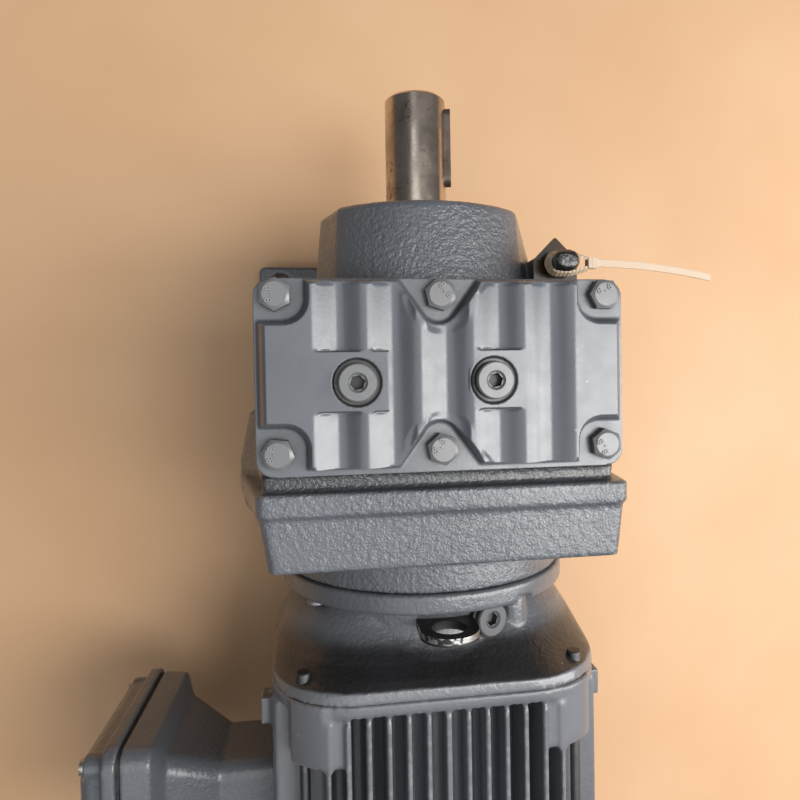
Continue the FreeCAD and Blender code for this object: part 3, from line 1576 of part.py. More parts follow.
def counter_bearings():
    return [(counter_front_bearing, counter_front, counter_x, counter_z),
            (counter_bearing, partition_front - counter_bearing[2], counter_x, counter_z)]


def motor_bearings():
    return [(motor_bearing, motor_bearing_front() - motor_bearing[2], 0.0, 0.0),
            (fan_end_bearing, rear_bearing_front() - fan_end_bearing[2], 0.0, 0.0)]


def balls(places):
    spheres = []
    for kind, y, x, z in places:
        spheres += bearing_balls(kind, y, x, z)
    return spheres


def pieces():
    """Every node's name and its solid or solids."""
    return {
        "gear_housing": gear_housing(),
        "housing_cover": housing_cover(),
        "cover_gasket": cover_gasket(),
        "cover_bolts": cover_bolts(),
        "filler_plug": cover_plug(0),
        "vent_plug": cover_plug(1),
        "flange_plug": flange_plug(),
        "plug_seals": plug_seals(),
        "bore_cap": bore_cap(),
        "output_oil_seal": output_oil_seal(),
        "bearing_snap_ring": bearing_snap_ring(),
        "output_bearing_outer_rings": bearing_pair(bearing_outer, output_bearings()),
        "output_bearing_inner_rings": bearing_pair(bearing_inner, output_bearings()),
        "output_bearing_balls": balls(output_bearings()),
        "output_shaft": output_shaft(),
        "output_key": output_key(),
        "output_gear": output_gear(),
        "output_gear_key": gear_key(),
        "output_spacer": output_spacer(),
        "output_retaining_ring": output_retaining_ring(),
        "countershaft": countershaft(),
        "countershaft_gear": countershaft_gear(),
        "countershaft_key": countershaft_key(),
        "countershaft_spacer": countershaft_spacer(),
        "countershaft_nut": countershaft_nut(),
        "counter_bearing_outer_rings": bearing_pair(bearing_outer, counter_bearings()),
        "counter_bearing_inner_rings": bearing_pair(bearing_inner, counter_bearings()),
        "counter_bearing_balls": balls(counter_bearings()),
        "motor_flange": motor_flange(),
        "flange_screws": flange_screws(),
        "motor_lifting_lug": motor_lifting_lug(),
        "motor_oil_seal": motor_oil_seal(),
        "motor_bearing_outer_rings": bearing_pair(bearing_outer, motor_bearings()),
        "motor_bearing_inner_rings": bearing_pair(bearing_inner, motor_bearings()),
        "motor_bearing_balls": balls(motor_bearings()),
        "motor_shaft": motor_shaft(),
        "input_pinion": input_pinion(),
        "rotor_core": rotor_core(),
        "stator_core": stator_core(),
        "stator_windings": stator_windings(),
        "stator_housing": stator_housing(),
        "rear_end_shield": rear_end_shield(),
        "preload_washer": preload_washer(),
        "tie_screws": tie_screws(),
        "cooling_fan": cooling_fan(),
        "fan_retaining_ring": fan_retaining_ring(),
        "fan_cover": fan_cover(),
        "fan_cover_screws": fan_cover_screws(),
        "terminal_box_base": terminal_box_base(),
        "terminal_box_gasket": terminal_box_gasket(),
        "terminal_box_lid": terminal_box_lid(),
        "terminal_box_screws": terminal_box_screws(),
        "terminal_block": terminal_block(),
        "terminal_studs": terminal_studs(),
        "blanking_plugs": blanking_plugs(),
        "cable_tie": cable_tie(),
        "hang_tag": hang_tag(),
    }


def main():
    os.makedirs("parts", exist_ok=True)
    for name, made in pieces().items():
        solids = []
        for shape in made if isinstance(made, list) else [made]:
            solids += shape.Solids
        shape = solids[0] if len(solids) == 1 else Part.makeCompound(solids)
        shape = shape.translated(V(0, cover_ahead, axis_height))
        shape.exportStep("parts/" + name + ".step")


main()
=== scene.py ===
"""Dresses the inline helical gear motor: softened castings, paint, steel and plastics, studio and camera."""

import math

import bmesh
import bpy
from mathutils import Matrix, Vector


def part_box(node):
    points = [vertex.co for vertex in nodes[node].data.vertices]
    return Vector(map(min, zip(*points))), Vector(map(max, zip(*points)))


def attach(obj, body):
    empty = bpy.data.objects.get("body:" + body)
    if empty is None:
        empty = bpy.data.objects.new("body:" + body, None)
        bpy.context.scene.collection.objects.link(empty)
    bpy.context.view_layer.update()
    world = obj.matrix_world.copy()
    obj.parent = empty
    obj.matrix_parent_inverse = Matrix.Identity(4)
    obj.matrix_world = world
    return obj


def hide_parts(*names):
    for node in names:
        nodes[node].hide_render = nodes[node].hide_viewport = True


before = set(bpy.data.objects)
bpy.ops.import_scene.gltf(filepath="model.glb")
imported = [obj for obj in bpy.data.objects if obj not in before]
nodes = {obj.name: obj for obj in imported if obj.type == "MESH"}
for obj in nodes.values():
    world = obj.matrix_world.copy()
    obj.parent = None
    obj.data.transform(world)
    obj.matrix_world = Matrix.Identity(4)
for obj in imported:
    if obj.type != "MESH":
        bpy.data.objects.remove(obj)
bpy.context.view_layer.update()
MAIN = "gear_motor_frame"
MM = 0.001

# Height of the shafts' axis above the feet and the cover's middle ahead of the feet's, in metres
AXIS_HEIGHT = 0.115
COVER_AHEAD = 0.021

# The rest is in mm, across and along from the cover's middle and up from the axis.
# Cover: bolts, plugs, troughs and what the troughs stop at
BOLT_SIDE, BOLT_MIDDLE, BOLT_ALONG = 75.5, -2.3, 35.0
PLUGS = ((-40.5, -4.0), (21.0, -4.0))
PLUG_GROOVE = (7.9, 10.7)
SPOT_REACH = 11.6
TROUGH_PITCH = 24.15
TROUGH_DEPTH = 4.2
TROUGH_SIDE = 60.4
TROUGH_FRONT = 39.8
TROUGH_BACK = -43.4
TROUGH_FADE = 0.8
PAD_MIDDLE = -3.65
PAD_REACH = 13.4
LEFT_PAD_END = -26.5
RIGHT_PAD = (12.1, 36.2)
POCKET_R = 15.2
POCKET_FLARE = 33.0
POCKET_SIDE = 19.5
POCKET_FADE = 2.5

# Motor's front shield: bore, flange ring, rear end, and the plug that leans to the right
SHIELD_BORE = 50.0
RING_R = 80.0
RING_FRONT, RING_BACK = -105.5, -115.5
RING_EDGE = 0.8
SHIELD_END = -153.0
LEAN = math.radians(22)
LEANING_PLUG_ALONG = -124.6
LEANING_BOSS_R = 9.0
LEANING_BOSS_REACH = (46.0, 66.0)
LUG_HOLE = (2.0, 76.8)
TIE_PLACE = 67.6

# Radius, and places across, up and along, of the flange ring's notch and of the rib on the neck
NOTCH_R, NOTCH_X, NOTCH_Z, NOTCH_ENDS = 8.8, 38.2, 61.1, (-118.0, -112.6)
RIB_R, RIB_X, RIB_Z, RIB_ENDS = 7.5, 40.0, 50.5, (-114.0, -135.0)

# Radius and place along
SPIGOT = ((55, -101.5), (55, -106))
NECK = ((64, -115), (64, -127), (65, -132), (67.5, -137), (71, -141), (77, -145), (80, -149))
TIE_HEAD = ((2.5, -148.0), (3.5, -148.0), (3.5, -142.6), (3.0, -142.0))
TIE_SHANK_R = 2.5

# Half width, half height, corner radius and place along
SHOULDERS = (
    (62.0, 54.0, 48.0, -114.0), (70.0, 55.0, 50.0, -120.0), (77.5, 57.0, 52.0, -127.0),
    (82.5, 62.0, 56.0, -135.0), (84.5, 71.0, 56.0, -141.0), (84.5, 80.0, 50.0, -145.0),
    (84.5, 84.0, 45.0, -147.5), (84.5, 84.5, 43.0, SHIELD_END))

# Radius and distance from the shafts' axis
SLEEVE = ((8.55, 65.0), (10.1, 65.0), (10.1, 67.0), (8.8, 67.3), (8.8, 69.8), (8.55, 69.8))

# Tie post on the gear housing
POST = (66.0, 54.4)
POST_R = 8.0

# Colours of what lies on the paint and the steel, and of the painted shade in creases, grooves and seams
CREASE_SHADE_AND_DIRT = (0.03, 0.028, 0.026)
DARK_RING = (0.012, 0.011, 0.011)
SEAM_SHADE_AND_DIRT = (0.008, 0.008, 0.008)
DUST = (0.55, 0.57, 0.60)
GRIT = (0.04, 0.04, 0.04)
WORN_EDGE = (0.42, 0.43, 0.46)
RUST = (0.10, 0.045, 0.015)


def in_frame(point):
    """Frame coordinates, in metres, of a point in mm."""
    return point * MM + Vector((0, COVER_AHEAD, AXIS_HEIGHT))


# Camera

def turn_from(vector):
    """Rotation matrix from an axis times an angle in radians."""
    v = Vector(vector)
    return Matrix.Rotation(v.length, 4, v.normalized())


def make_camera():
    """Camera above the cover, turned a little to the left. Its focal length and centre are in pixels of the
    picture, its place in mm and its turn an axis times an angle."""
    picture = 800
    focal = 665.9
    centre = (428.3, 385.3)
    place = (-53.3, 0.2, 388.5)
    turn = (-0.019, -0.150, -0.018)
    data = bpy.data.cameras.new("camera")
    data.sensor_width = 36.0
    data.lens = focal / picture * data.sensor_width
    data.shift_x = 0.5 - centre[0] / picture
    data.shift_y = centre[1] / picture - 0.5
    data.clip_start = 0.01
    camera = bpy.data.objects.new("camera", data)
    camera.matrix_world = Matrix.Translation(in_frame(Vector(place))) @ turn_from(turn)
    bpy.context.scene.collection.objects.link(camera)
    bpy.context.scene.camera = camera


# Node materials

class Graph:
    """Short way to add and link shader nodes."""

    def __init__(self, name):
        self.material = bpy.data.materials.new(name)
        self.material.use_nodes = True
        self.tree = self.material.node_tree
        self.shader = next(n for n in self.tree.nodes if n.type == "BSDF_PRINCIPLED")
        self.spot = self.add("ShaderNodeTexCoord").outputs["Object"]

    def add(self, kind, **inputs):
        node = self.tree.nodes.new(kind)
        for key, value in inputs.items():
            self.put(node.inputs[key.replace("_", " ")], value)
        return node

    def put(self, socket, value):
        if isinstance(value, bpy.types.NodeSocket):
            self.tree.links.new(value, socket)
        else:
            socket.default_value = value

    def noise(self, scale, detail=3.0, rough=0.5, vector=None):
        node = self.add("ShaderNodeTexNoise", Vector=vector or self.spot, Scale=scale, Detail=detail,
                        Roughness=rough)
        return node.outputs["Fac"]

    def math(self, kind, a, b=0.0):
        node = self.tree.nodes.new("ShaderNodeMath")
        node.operation = kind
        self.put(node.inputs[0], a)
        self.put(node.inputs[1], b)
        return node.outputs[0]

    def span(self, value, low, high, to_low=0.0, to_high=1.0):
        """Maps low..high to to_low..to_high, clamped."""
        node = self.tree.nodes.new("ShaderNodeMapRange")
        self.put(node.inputs["Value"], value)
        for key, number in (("From Min", low), ("From Max", high), ("To Min", to_low), ("To Max", to_high)):
            node.inputs[key].default_value = number
        return node.outputs["Result"]

    def times(self, *values):
        product = values[0]
        for value in values[1:]:
            product = self.math("MULTIPLY", product, value)
        return product

    def mix(self, share, a, b):
        node = self.tree.nodes.new("ShaderNodeMix")
        node.data_type = "RGBA"
        self.put(node.inputs["Factor"], share)
        for socket, value in ((node.inputs[6], a), (node.inputs[7], b)):
            if isinstance(value, tuple):
                value = (*value, 1.0)
            self.put(socket, value)
        return node.outputs[2]

    def bump(self, height, distance, normal=None):
        """Normal of a relief, distance mm high."""
        node = self.add("ShaderNodeBump", Height=height, Distance=distance * MM, Strength=1.0)
        if normal is not None:
            self.put(node.inputs["Normal"], normal)
        return node.outputs["Normal"]

    def specks(self, scale, size, share):
        """Mask of scattered round specks: share of the cells hold one, size of a cell wide."""
        cell = self.add("ShaderNodeTexVoronoi", Vector=self.spot, Scale=scale)
        near = self.span(cell.outputs["Distance"], size, size * 0.5)
        pick = self.add("ShaderNodeSeparateColor", Color=cell.outputs["Color"]).outputs[0]
        return self.times(near, self.span(pick, share, share * 0.9))

    def axis(self, index, source=None):
        node = self.add("ShaderNodeSeparateXYZ", Vector=source or self.spot)
        return node.outputs[index]

    def facing(self, index):
        """Part of the surface's normal along an axis."""
        return self.axis(index, self.add("ShaderNodeNewGeometry").outputs["Normal"])

    def scaled(self, factors):
        node = self.add("ShaderNodeVectorMath", Vector=self.spot)
        node.operation = "MULTIPLY"
        node.inputs[1].default_value = factors
        return node.outputs[0]

    def distance(self, point, flatten):
        """Distance in metres from a point, with the axes that are 0 in flatten left out."""
        node = self.add("ShaderNodeVectorMath")
        node.operation = "DISTANCE"
        self.put(node.inputs[0], self.scaled(flatten))
        node.inputs[1].default_value = in_frame(Vector(point)) * Vector(flatten)
        return node.outputs["Value"]

    def ring(self, x, y, inner, outer):
        """Mask of a flat ring round an upright axis, all in mm."""
        reach = self.distance((x, y, 0), (1.0, 1.0, 0.0))
        fade = 0.2
        far = self.span(reach, (inner - fade) * MM, (inner + fade) * MM)
        near = self.span(reach, (outer + fade) * MM, (outer - fade) * MM)
        return self.times(far, near)

    def rounded(self, radius):
        """Normal with edges rounded by a radius in mm."""
        return self.add("ShaderNodeBevel", Radius=radius * MM).outputs[0]

    def corners(self, distance, clean, full):
        """Mask of the creases and hollows that ambient occlusion finds, where painted shade and dirt lie:
        distance in mm, and how open a place is where none and where all of it lies."""
        node = self.add("ShaderNodeAmbientOcclusion", Distance=distance * MM)
        node.samples = 8
        return self.span(node.outputs["AO"], clean, full)

    def finish(self, colour, normal=None, roughness=0.5, metallic=0.0, specular=0.5):
        self.put(self.shader.inputs["Base Color"], (*colour, 1.0) if isinstance(colour, tuple) else colour)
        self.put(self.shader.inputs["Roughness"], roughness)
        self.shader.inputs["Metallic"].default_value = metallic
        self.shader.inputs["Specular IOR Level"].default_value = specular
        if normal is not None:
            self.put(self.shader.inputs["Normal"], normal)
        return self.material


def shade(colour, factor):
    return tuple(min(1.0, c * factor) for c in colour)


def enamel(name, colour, gloss, pebble=0.0, peel=0.02, dust=0.4, shade_and_dirt=0.5, wear=0.5, soft=0.0, rings=(), bands=(),
           coat=0.45, deep=False):
    """Thick grey enamel: tone changes, painted shade and dirt in the creases, dust specks, and thin places on
    edges.
    pebble and peel are the heights in mm of the cast grain under it and of its own skin, soft is the radius of
    its edges in mm, and deep keeps the painted shade and dirt to holes and steep corners. Rings are near-black
    rings and discs round upright axes. Bands are stretches along the object in another colour, such as painted
    shade: where one starts, is full, starts to fade and ends, the height it starts at and how ragged it is, all
    in mm, and its colour."""
    g = Graph(name)
    light = shade(colour, 1.14)
    tone = g.mix(g.span(g.noise(14, 4), 0.35, 0.65), shade(colour, 0.86), light)
    tone = g.mix(g.span(g.noise(900, 2), 0.3, 0.7, 0.0, 0.25), tone, light)
    # Bands in another colour, such as the painted shade in the seam behind the cover and on the shield's shoulder
    for start, full, last, end, low, ragged, tone_shift in bands:
        edge = g.span(g.noise(60, 2), 0.0, 1.0, -ragged * MM, ragged * MM)
        place = g.math("ADD", g.axis(1), edge)
        along = [in_frame(Vector((0, y, 0))).y for y in (start, full, last, end)]
        height = [in_frame(Vector((0, 0, z))).z for z in (low - 1, low)]
        share = g.times(g.span(place, along[0], along[1]), g.span(place, along[3], along[2]),
                        g.span(g.axis(2), *height))
        tone = g.mix(share, tone, tone_shift)
    # Painted shade and dirt: darker where ambient occlusion finds creases and hollows
    if deep:
        crease_shade_and_dirt = g.corners(8, 0.68, 0.42)
    else:
        crease_shade_and_dirt = g.times(g.corners(6, 0.85, 0.35), g.span(g.noise(160, 4), 0.3, 0.6, 0.4, 1.0))
    tone = g.mix(g.times(crease_shade_and_dirt, shade_and_dirt), tone, CREASE_SHADE_AND_DIRT)
    if wear:
        edge = g.add("ShaderNodeNewGeometry").outputs["Pointiness"]
        edge = g.times(g.span(edge, 0.53, 0.60), g.span(g.noise(240, 4), 0.48, 0.62), wear)
        tone = g.mix(edge, tone, WORN_EDGE)
    tone = g.mix(g.times(g.specks(170, 0.10, 0.10), dust), tone, DUST)
    tone = g.mix(g.times(g.specks(95, 0.07, 0.06), dust), tone, GRIT)
    # Near-black rings and discs: painted shade and dirt in the plugs' grooves, a dark disc on the tie post
    for ring in rings:
        groove = g.times(g.ring(*ring), g.span(g.noise(300, 3), 0.3, 0.5, 0.75, 1.0))
        tone = g.mix(groove, tone, DARK_RING)
    normal = g.rounded(soft) if soft else None
    if pebble:
        grain = g.math("ADD", g.noise(430, 2, 0.55), g.times(g.noise(900, 2), 0.35))
        amount = g.span(g.noise(22, 3), 0.3, 0.62, 0.45, 1.0)
        normal = g.bump(g.times(g.span(grain, 0.45, 0.95), amount), pebble, normal)
    normal = g.bump(g.noise(650, 1), peel, normal)
    rough = g.span(g.noise(120, 3), 0.3, 0.7, gloss - 0.05, gloss + 0.07)
    g.shader.inputs["Coat Weight"].default_value = coat
    g.shader.inputs["Coat Roughness"].default_value = 0.26
    return g.finish(tone, normal, g.math("ADD", rough, g.times(crease_shade_and_dirt, 0.3)), specular=0.6)


def metal(name, colour, rough=0.32, brush=0.01, rust=0.0, turned=False, soft=0.3):
    """Bare steel with stains and rust. brush is the depth of its marks in mm, and turned runs them round the
    shafts' axis."""
    g = Graph(name)
    lines = g.noise(1.0, 3, 0.6, g.scaled((40, 2600, 40) if turned else (300, 300, 300)))
    tone_shift = g.span(g.noise(55, 5, 0.65), 0.38, 0.62)
    tone = g.mix(tone_shift, shade(colour, 0.62), colour)
    tone = g.mix(g.span(lines, 0.4, 0.6, 0.0, 0.25), tone, shade(colour, 0.7))
    if rust:
        patch = g.times(g.span(g.noise(70, 6, 0.7), 0.56, 0.66), g.span(g.noise(600, 3), 0.35, 0.6), rust)
        tone = g.mix(patch, tone, RUST)
    normal = g.bump(lines, brush, g.rounded(soft) if soft else None)
    return g.finish(tone, normal, g.span(tone_shift, 0.0, 1.0, rough + 0.12, rough), metallic=1.0)


def rubber(name):
    g = Graph(name)
    tone = g.mix(g.span(g.noise(300, 3), 0.4, 0.7), (0.012, 0.012, 0.012), (0.0364, 0.0364, 0.0364))
    return g.finish(tone, g.bump(g.noise(1500, 2), 0.02, g.rounded(0.3)), 0.6)


def moulded(name, colour):
    """Moulded plastic with a fine spark-eroded grain."""
    g = Graph(name)
    tone = g.mix(g.span(g.noise(40, 3), 0.3, 0.7), shade(colour, 0.85), colour)
    return g.finish(tone, g.bump(g.noise(1800, 2), 0.015, g.rounded(0.4)), 0.4)


def copper_wire(name):
    """Lacquered turns of wire laid round the core."""
    g = Graph(name)
    wave = g.add("ShaderNodeTexWave", Vector=g.spot, Scale=260.0, Distortion=3.0, Detail=2.0)
    wave.bands_direction = "Y"
    tone = g.mix(wave.outputs["Fac"], (0.22, 0.06, 0.02), (0.62, 0.25, 0.09))
    return g.finish(tone, g.bump(wave.outputs["Fac"], 0.3), 0.35, metallic=0.6)


def raised_mark(name):
    """Painted raised figures, lighter on top and near-black on their sides: painted highlight and painted shade.
    """
    g = Graph(name)
    # Painted highlight on the tops, painted shade on the steep sides
    tone = g.mix(g.span(g.facing(2), 0.55, 0.85), (0.025, 0.025, 0.025), (0.24, 0.245, 0.25))
    return g.finish(tone, g.bump(g.noise(650, 1), 0.02), 0.4)


def lug_steel(name):
    """Near-black plate, its dark tone partly painted shade of the face turned from the light, rubbed bright in a
    thin ragged crescent on its outer rim.
    """
    g = Graph(name)
    upright = g.span(g.math("ABSOLUTE", g.facing(1)), 0.6, 0.3)
    outside = g.span(g.distance((LUG_HOLE[0], 0, LUG_HOLE[1]), (1.0, 0.0, 1.0)), 9.5 * MM, 10.5 * MM)
    crescent = [in_frame(Vector((0, y, 0))).y for y in (-125.2, -124.4)]
    ragged = g.math("ADD", g.axis(1), g.span(g.noise(300, 2), 0, 1, -0.8 * MM, 0.8 * MM))
    rim = g.times(upright, g.span(g.noise(210, 4, 0.6), 0.43, 0.5), outside, g.span(ragged, *crescent))
    # Near-black tone: dark steel, and partly painted shade of the face turned from the light
    tone = g.mix(g.span(g.noise(120, 4), 0.3, 0.7), (0.008, 0.008, 0.009), (0.02, 0.02, 0.021))
    tone = g.mix(rim, tone, (0.62, 0.60, 0.58))
    material = g.finish(tone, g.bump(g.noise(500, 3), 0.03, g.rounded(0.4)), g.span(rim, 0, 1, 0.5, 0.3))
    g.put(g.shader.inputs["Metallic"], rim)
    return material


def nylon(name):
    """Natural nylon strap with the fine teeth of its inner face showing through near the lock head."""
    g = Graph(name)
    teeth = g.add("ShaderNodeTexWave", Vector=g.spot, Scale=150.0)
    teeth.bands_direction = "X"
    near = g.times(teeth.outputs["Fac"], g.span(g.axis(0), 82 * MM, 78 * MM))
    tone = g.mix(g.times(near, 0.35), (0.60, 0.47, 0.34), (0.36, 0.28, 0.20))
    material = g.finish(tone, g.bump(near, 0.25, g.rounded(0.2)), 0.38)
    g.shader.inputs["Subsurface Weight"].default_value = 0.25
    g.shader.inputs["Subsurface Radius"].default_value = (0.003, 0.002, 0.001)
    g.shader.inputs["Subsurface Scale"].default_value = 1.0
    return material


def amber(name):
    """Dark amber plastic whose cut edges carry a painted glow: light through the plastic painted into their
    colour.
    """
    g = Graph(name)
    tone = g.mix(g.span(g.noise(90, 3), 0.35, 0.65), (0.022, 0.012, 0.004), (0.05, 0.026, 0.006))
    # Painted glow: faces turned away from the top are painted bright amber
    tone = g.mix(g.span(g.facing(2), 0.95, 0.6), tone, (0.42, 0.24, 0.05))
    return g.finish(tone, g.bump(g.noise(300, 2), 0.03, g.rounded(0.4)), 0.22)


# Pieces

def dress(piece, material):
    piece.data.materials.clear()
    piece.data.materials.append(material)


def place_piece(name, mesh, material, replaced=None):
    """Puts a piece that rides on the frame into the scene."""
    piece = bpy.data.objects.new(name, mesh)
    bpy.context.scene.collection.objects.link(piece)
    dress(piece, material)
    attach(piece, MAIN)
    if replaced:
        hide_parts(replaced)


def mesh_of(thing):
    """Mesh of an object with its modifiers worked in."""
    bpy.context.view_layer.update()
    return bpy.data.meshes.new_from_object(thing.evaluated_get(bpy.context.evaluated_depsgraph_get()))


def apply_modifiers(piece):
    mesh = mesh_of(piece)
    piece.modifiers.clear()
    piece.data = mesh


# Castings with soft edges

def soften(name, material, voxel, passes, wave=0.0, mesh=None, reshape=None):
    """Copy of a casting with every edge rounded as foundry sand and paint leave it: voxels in mm, smoothing
    passes and the height in mm of the waves in its skin."""
    piece = bpy.data.objects.new(name + "_cast", mesh or nodes[name].data.copy())
    bpy.context.scene.collection.objects.link(piece)
    remesh = piece.modifiers.new("remesh", "REMESH")
    remesh.mode = "VOXEL"
    remesh.voxel_size = voxel * MM
    remesh.use_smooth_shade = True
    apply_modifiers(piece)
    if reshape:
        reshape(piece.data)
    smooth = piece.modifiers.new("smooth", "SMOOTH")
    smooth.factor = 0.5
    smooth.iterations = passes
    if wave:
        texture = bpy.data.textures.new(name + "_skin", "CLOUDS")
        texture.noise_scale = 4.0 * MM
        texture.noise_depth = 1
        skin = piece.modifiers.new("skin", "DISPLACE")
        skin.texture = texture
        skin.texture_coords = "LOCAL"
        skin.strength = wave * MM
        skin.mid_level = 0.5
    apply_modifiers(piece)
    for face in piece.data.polygons:
        face.use_smooth = True
    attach(piece, MAIN)
    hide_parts(name)
    dress(piece, material)


def clear_of_pads(x, y):
    """Distance by which a point of the cover clears the pads of the plugs and their spot faces."""
    beside = abs(y - PAD_MIDDLE) - PAD_REACH
    clear = 1.0
    if x < LEFT_PAD_END or RIGHT_PAD[0] < x < RIGHT_PAD[1]:
        clear = beside
    elif x < LEFT_PAD_END + 1.5:
        clear = max(beside, (x - LEFT_PAD_END) / TROUGH_FADE)
    return min(clear, *(math.hypot(x - plug_x, y - plug_y) - SPOT_REACH for plug_x, plug_y in PLUGS))


def trough_share(x, y):
    """How far the cover's soft troughs reach: not into the pads, pockets, spot faces and borders."""
    pocket = math.hypot(x - BOLT_MIDDLE, abs(y) - BOLT_ALONG) - POCKET_R
    if abs(y) > POCKET_FLARE:
        pocket = min(pocket, abs(x - BOLT_MIDDLE) - abs(y) + POCKET_SIDE)
    share = min(TROUGH_SIDE - abs(x), (TROUGH_FRONT - y) / TROUGH_FADE, (y - TROUGH_BACK) / TROUGH_FADE,
                pocket / POCKET_FADE, clear_of_pads(x, y))
    return max(0.0, min(1.0, share))


def soft_troughs(mesh):
    """Gives the cover's troughs and ridges one flowing wave."""
    top = max(vertex.co.z for vertex in mesh.vertices)
    floor = top - (TROUGH_DEPTH + 0.7) * MM
    upper = [v for v in mesh.vertices if v.co.z > floor and v.normal.z > 0.1]
    for vertex in upper:
        x = vertex.co.x / MM
        wave = 0.5 + 0.5 * math.cos(2 * math.pi * x / TROUGH_PITCH)
        share = trough_share(x, (vertex.co.y - COVER_AHEAD) / MM)
        vertex.co.z += share * (top - TROUGH_DEPTH * MM * wave - vertex.co.z)


# Lofted meshes

def outline(half_width, half_height, corner, y):
    """Rounded rectangle across the axis."""
    steps = 24
    points = []
    for quarter in range(4):
        cx = (half_width - corner) * (1 if quarter in (0, 3) else -1)
        cz = (half_height - corner) * (1 if quarter in (0, 1) else -1)
        for k in range(steps + 1):
            a = math.radians(90 * quarter + 90 * k / steps)
            points.append(Vector((cx + corner * math.cos(a), y, cz + corner * math.sin(a))))
    return points


def circle(r, y, x=0.0, z=0.0):
    return [p + Vector((x, 0, z)) for p in outline(r, r, r, y)]


def leaning_circle(r, reach, step):
    """Circle round the leaning plug's axis, reach away from the shafts' axis, a point every step degrees."""
    out = Vector((math.sin(LEAN), 0, math.cos(LEAN)))
    across = Vector((out.z, 0, -out.x))
    along = Vector((0, 1, 0))
    centre = out * reach + along * LEANING_PLUG_ALONG
    turns = [math.radians(k) for k in range(0, 360, step)]
    return [centre + (across * math.cos(a) + along * math.sin(a)) * r for a in turns]


def loft(name, rings, hollow=False):
    """Mesh through rings of points. A hollow one closes on itself, a solid one has end faces."""
    count = len(rings[0])
    faces = []
    for i in range(len(rings) if hollow else len(rings) - 1):
        j = (i + 1) % len(rings)
        for k in range(count):
            n = (k + 1) % count
            faces.append((i * count + k, i * count + n, j * count + n, j * count + k))
    if not hollow:
        faces += [tuple(range(count))[::-1], tuple(range((len(rings) - 1) * count, len(rings) * count))]
    mesh = bpy.data.meshes.new(name)
    mesh.from_pydata([in_frame(p) for ring in rings for p in ring], [], faces)
    work = bmesh.new()
    work.from_mesh(mesh)
    bmesh.ops.remove_doubles(work, verts=work.verts, dist=1e-7)
    bmesh.ops.recalc_face_normals(work, faces=work.faces)
    work.to_mesh(mesh)
    work.free()
    return mesh


def joined(name, meshes):
    work = bmesh.new()
    for mesh in meshes:
        work.from_mesh(mesh)
    whole = bpy.data.meshes.new(name)
    work.to_mesh(whole)
    work.free()
    return whole


def cut(mesh, cutter):
    """The mesh with the cutter's space taken away."""
    piece = bpy.data.objects.new("work", mesh)
    tool = bpy.data.objects.new("cutter", cutter)
    for thing in (piece, tool):
        bpy.context.scene.collection.objects.link(thing)
    modifier = piece.modifiers.new("cut", "BOOLEAN")
    modifier.operation = "DIFFERENCE"
    modifier.object = tool
    result = mesh_of(piece)
    bpy.data.objects.remove(piece)
    bpy.data.objects.remove(tool)
    return result


def turned(name, profile):
    """Body turned round the shafts' axis, from radii and places along it, with the shield's bore."""
    ends = [circle(SHIELD_BORE, profile[-1][1]), circle(SHIELD_BORE, profile[0][1])]
    return loft(name, [circle(r, y) for r, y in profile] + ends, hollow=True)


def shield_mesh():
    """Motor's front shield: flange ring with a notch, neck that flares, wide shoulders, rib and plug's boss."""
    rim = RING_R - RING_EDGE
    ring = turned("ring", ((rim, RING_FRONT), (RING_R, RING_FRONT - RING_EDGE), (RING_R, RING_BACK + RING_EDGE),
                           (rim, RING_BACK)))
    ring = cut(ring, loft("notch", [circle(NOTCH_R, y, NOTCH_X, NOTCH_Z) for y in NOTCH_ENDS]))
    bore = [circle(SHIELD_BORE, SHOULDERS[-1][3]), circle(SHIELD_BORE, SHOULDERS[0][3])]
    shoulders = loft("shoulders", [outline(*station) for station in SHOULDERS] + bore, hollow=True)
    boss = loft("boss", [leaning_circle(LEANING_BOSS_R, reach, 6) for reach in LEANING_BOSS_REACH])
    rib = loft("rib", [circle(RIB_R, y, RIB_X, RIB_Z) for y in RIB_ENDS])
    return joined("shield", [ring, turned("spigot", SPIGOT), turned("neck", NECK), shoulders, boss, rib])


def plug_seal_and_shade_sleeve(material):
    """Dark sealing ring of the plug on the motor's neck, with a dark sleeve up the collar's side that paints its
    shade.
    """
    sleeve = loft("plug_seal_and_shade_sleeve", [leaning_circle(r, reach, 5) for r, reach in SLEEVE], hollow=True)
    place_piece("plug_seal_and_shade_sleeve", sleeve, material)


def tie_bolts(material):
    """Long screws at the motor's corners, with small round heads on the shield."""
    back = (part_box("tie_screws")[0].y - COVER_AHEAD) / MM
    profile = ((TIE_SHANK_R, back), *TIE_HEAD)
    parts = []
    for sx, sz in ((1, 1), (-1, 1), (-1, -1), (1, -1)):
        parts.append(loft("tie", [circle(r, y, TIE_PLACE * sx, TIE_PLACE * sz) for r, y in profile]))
    place_piece("tie_bolts", joined("tie_bolts", parts), material, "tie_screws")


# Cover bolts and the numbers on them

BOLTS = [  # place, turn of the hexagon and turn of the number
    (-BOLT_SIDE, BOLT_ALONG, 28, 95), (BOLT_MIDDLE, BOLT_ALONG, 43, -50), (BOLT_SIDE, BOLT_ALONG, 58, 20),
    (-BOLT_SIDE, -BOLT_ALONG, 52, 85), (BOLT_MIDDLE, -BOLT_ALONG, 41, 50), (BOLT_SIDE, -BOLT_ALONG, 38, 115)]


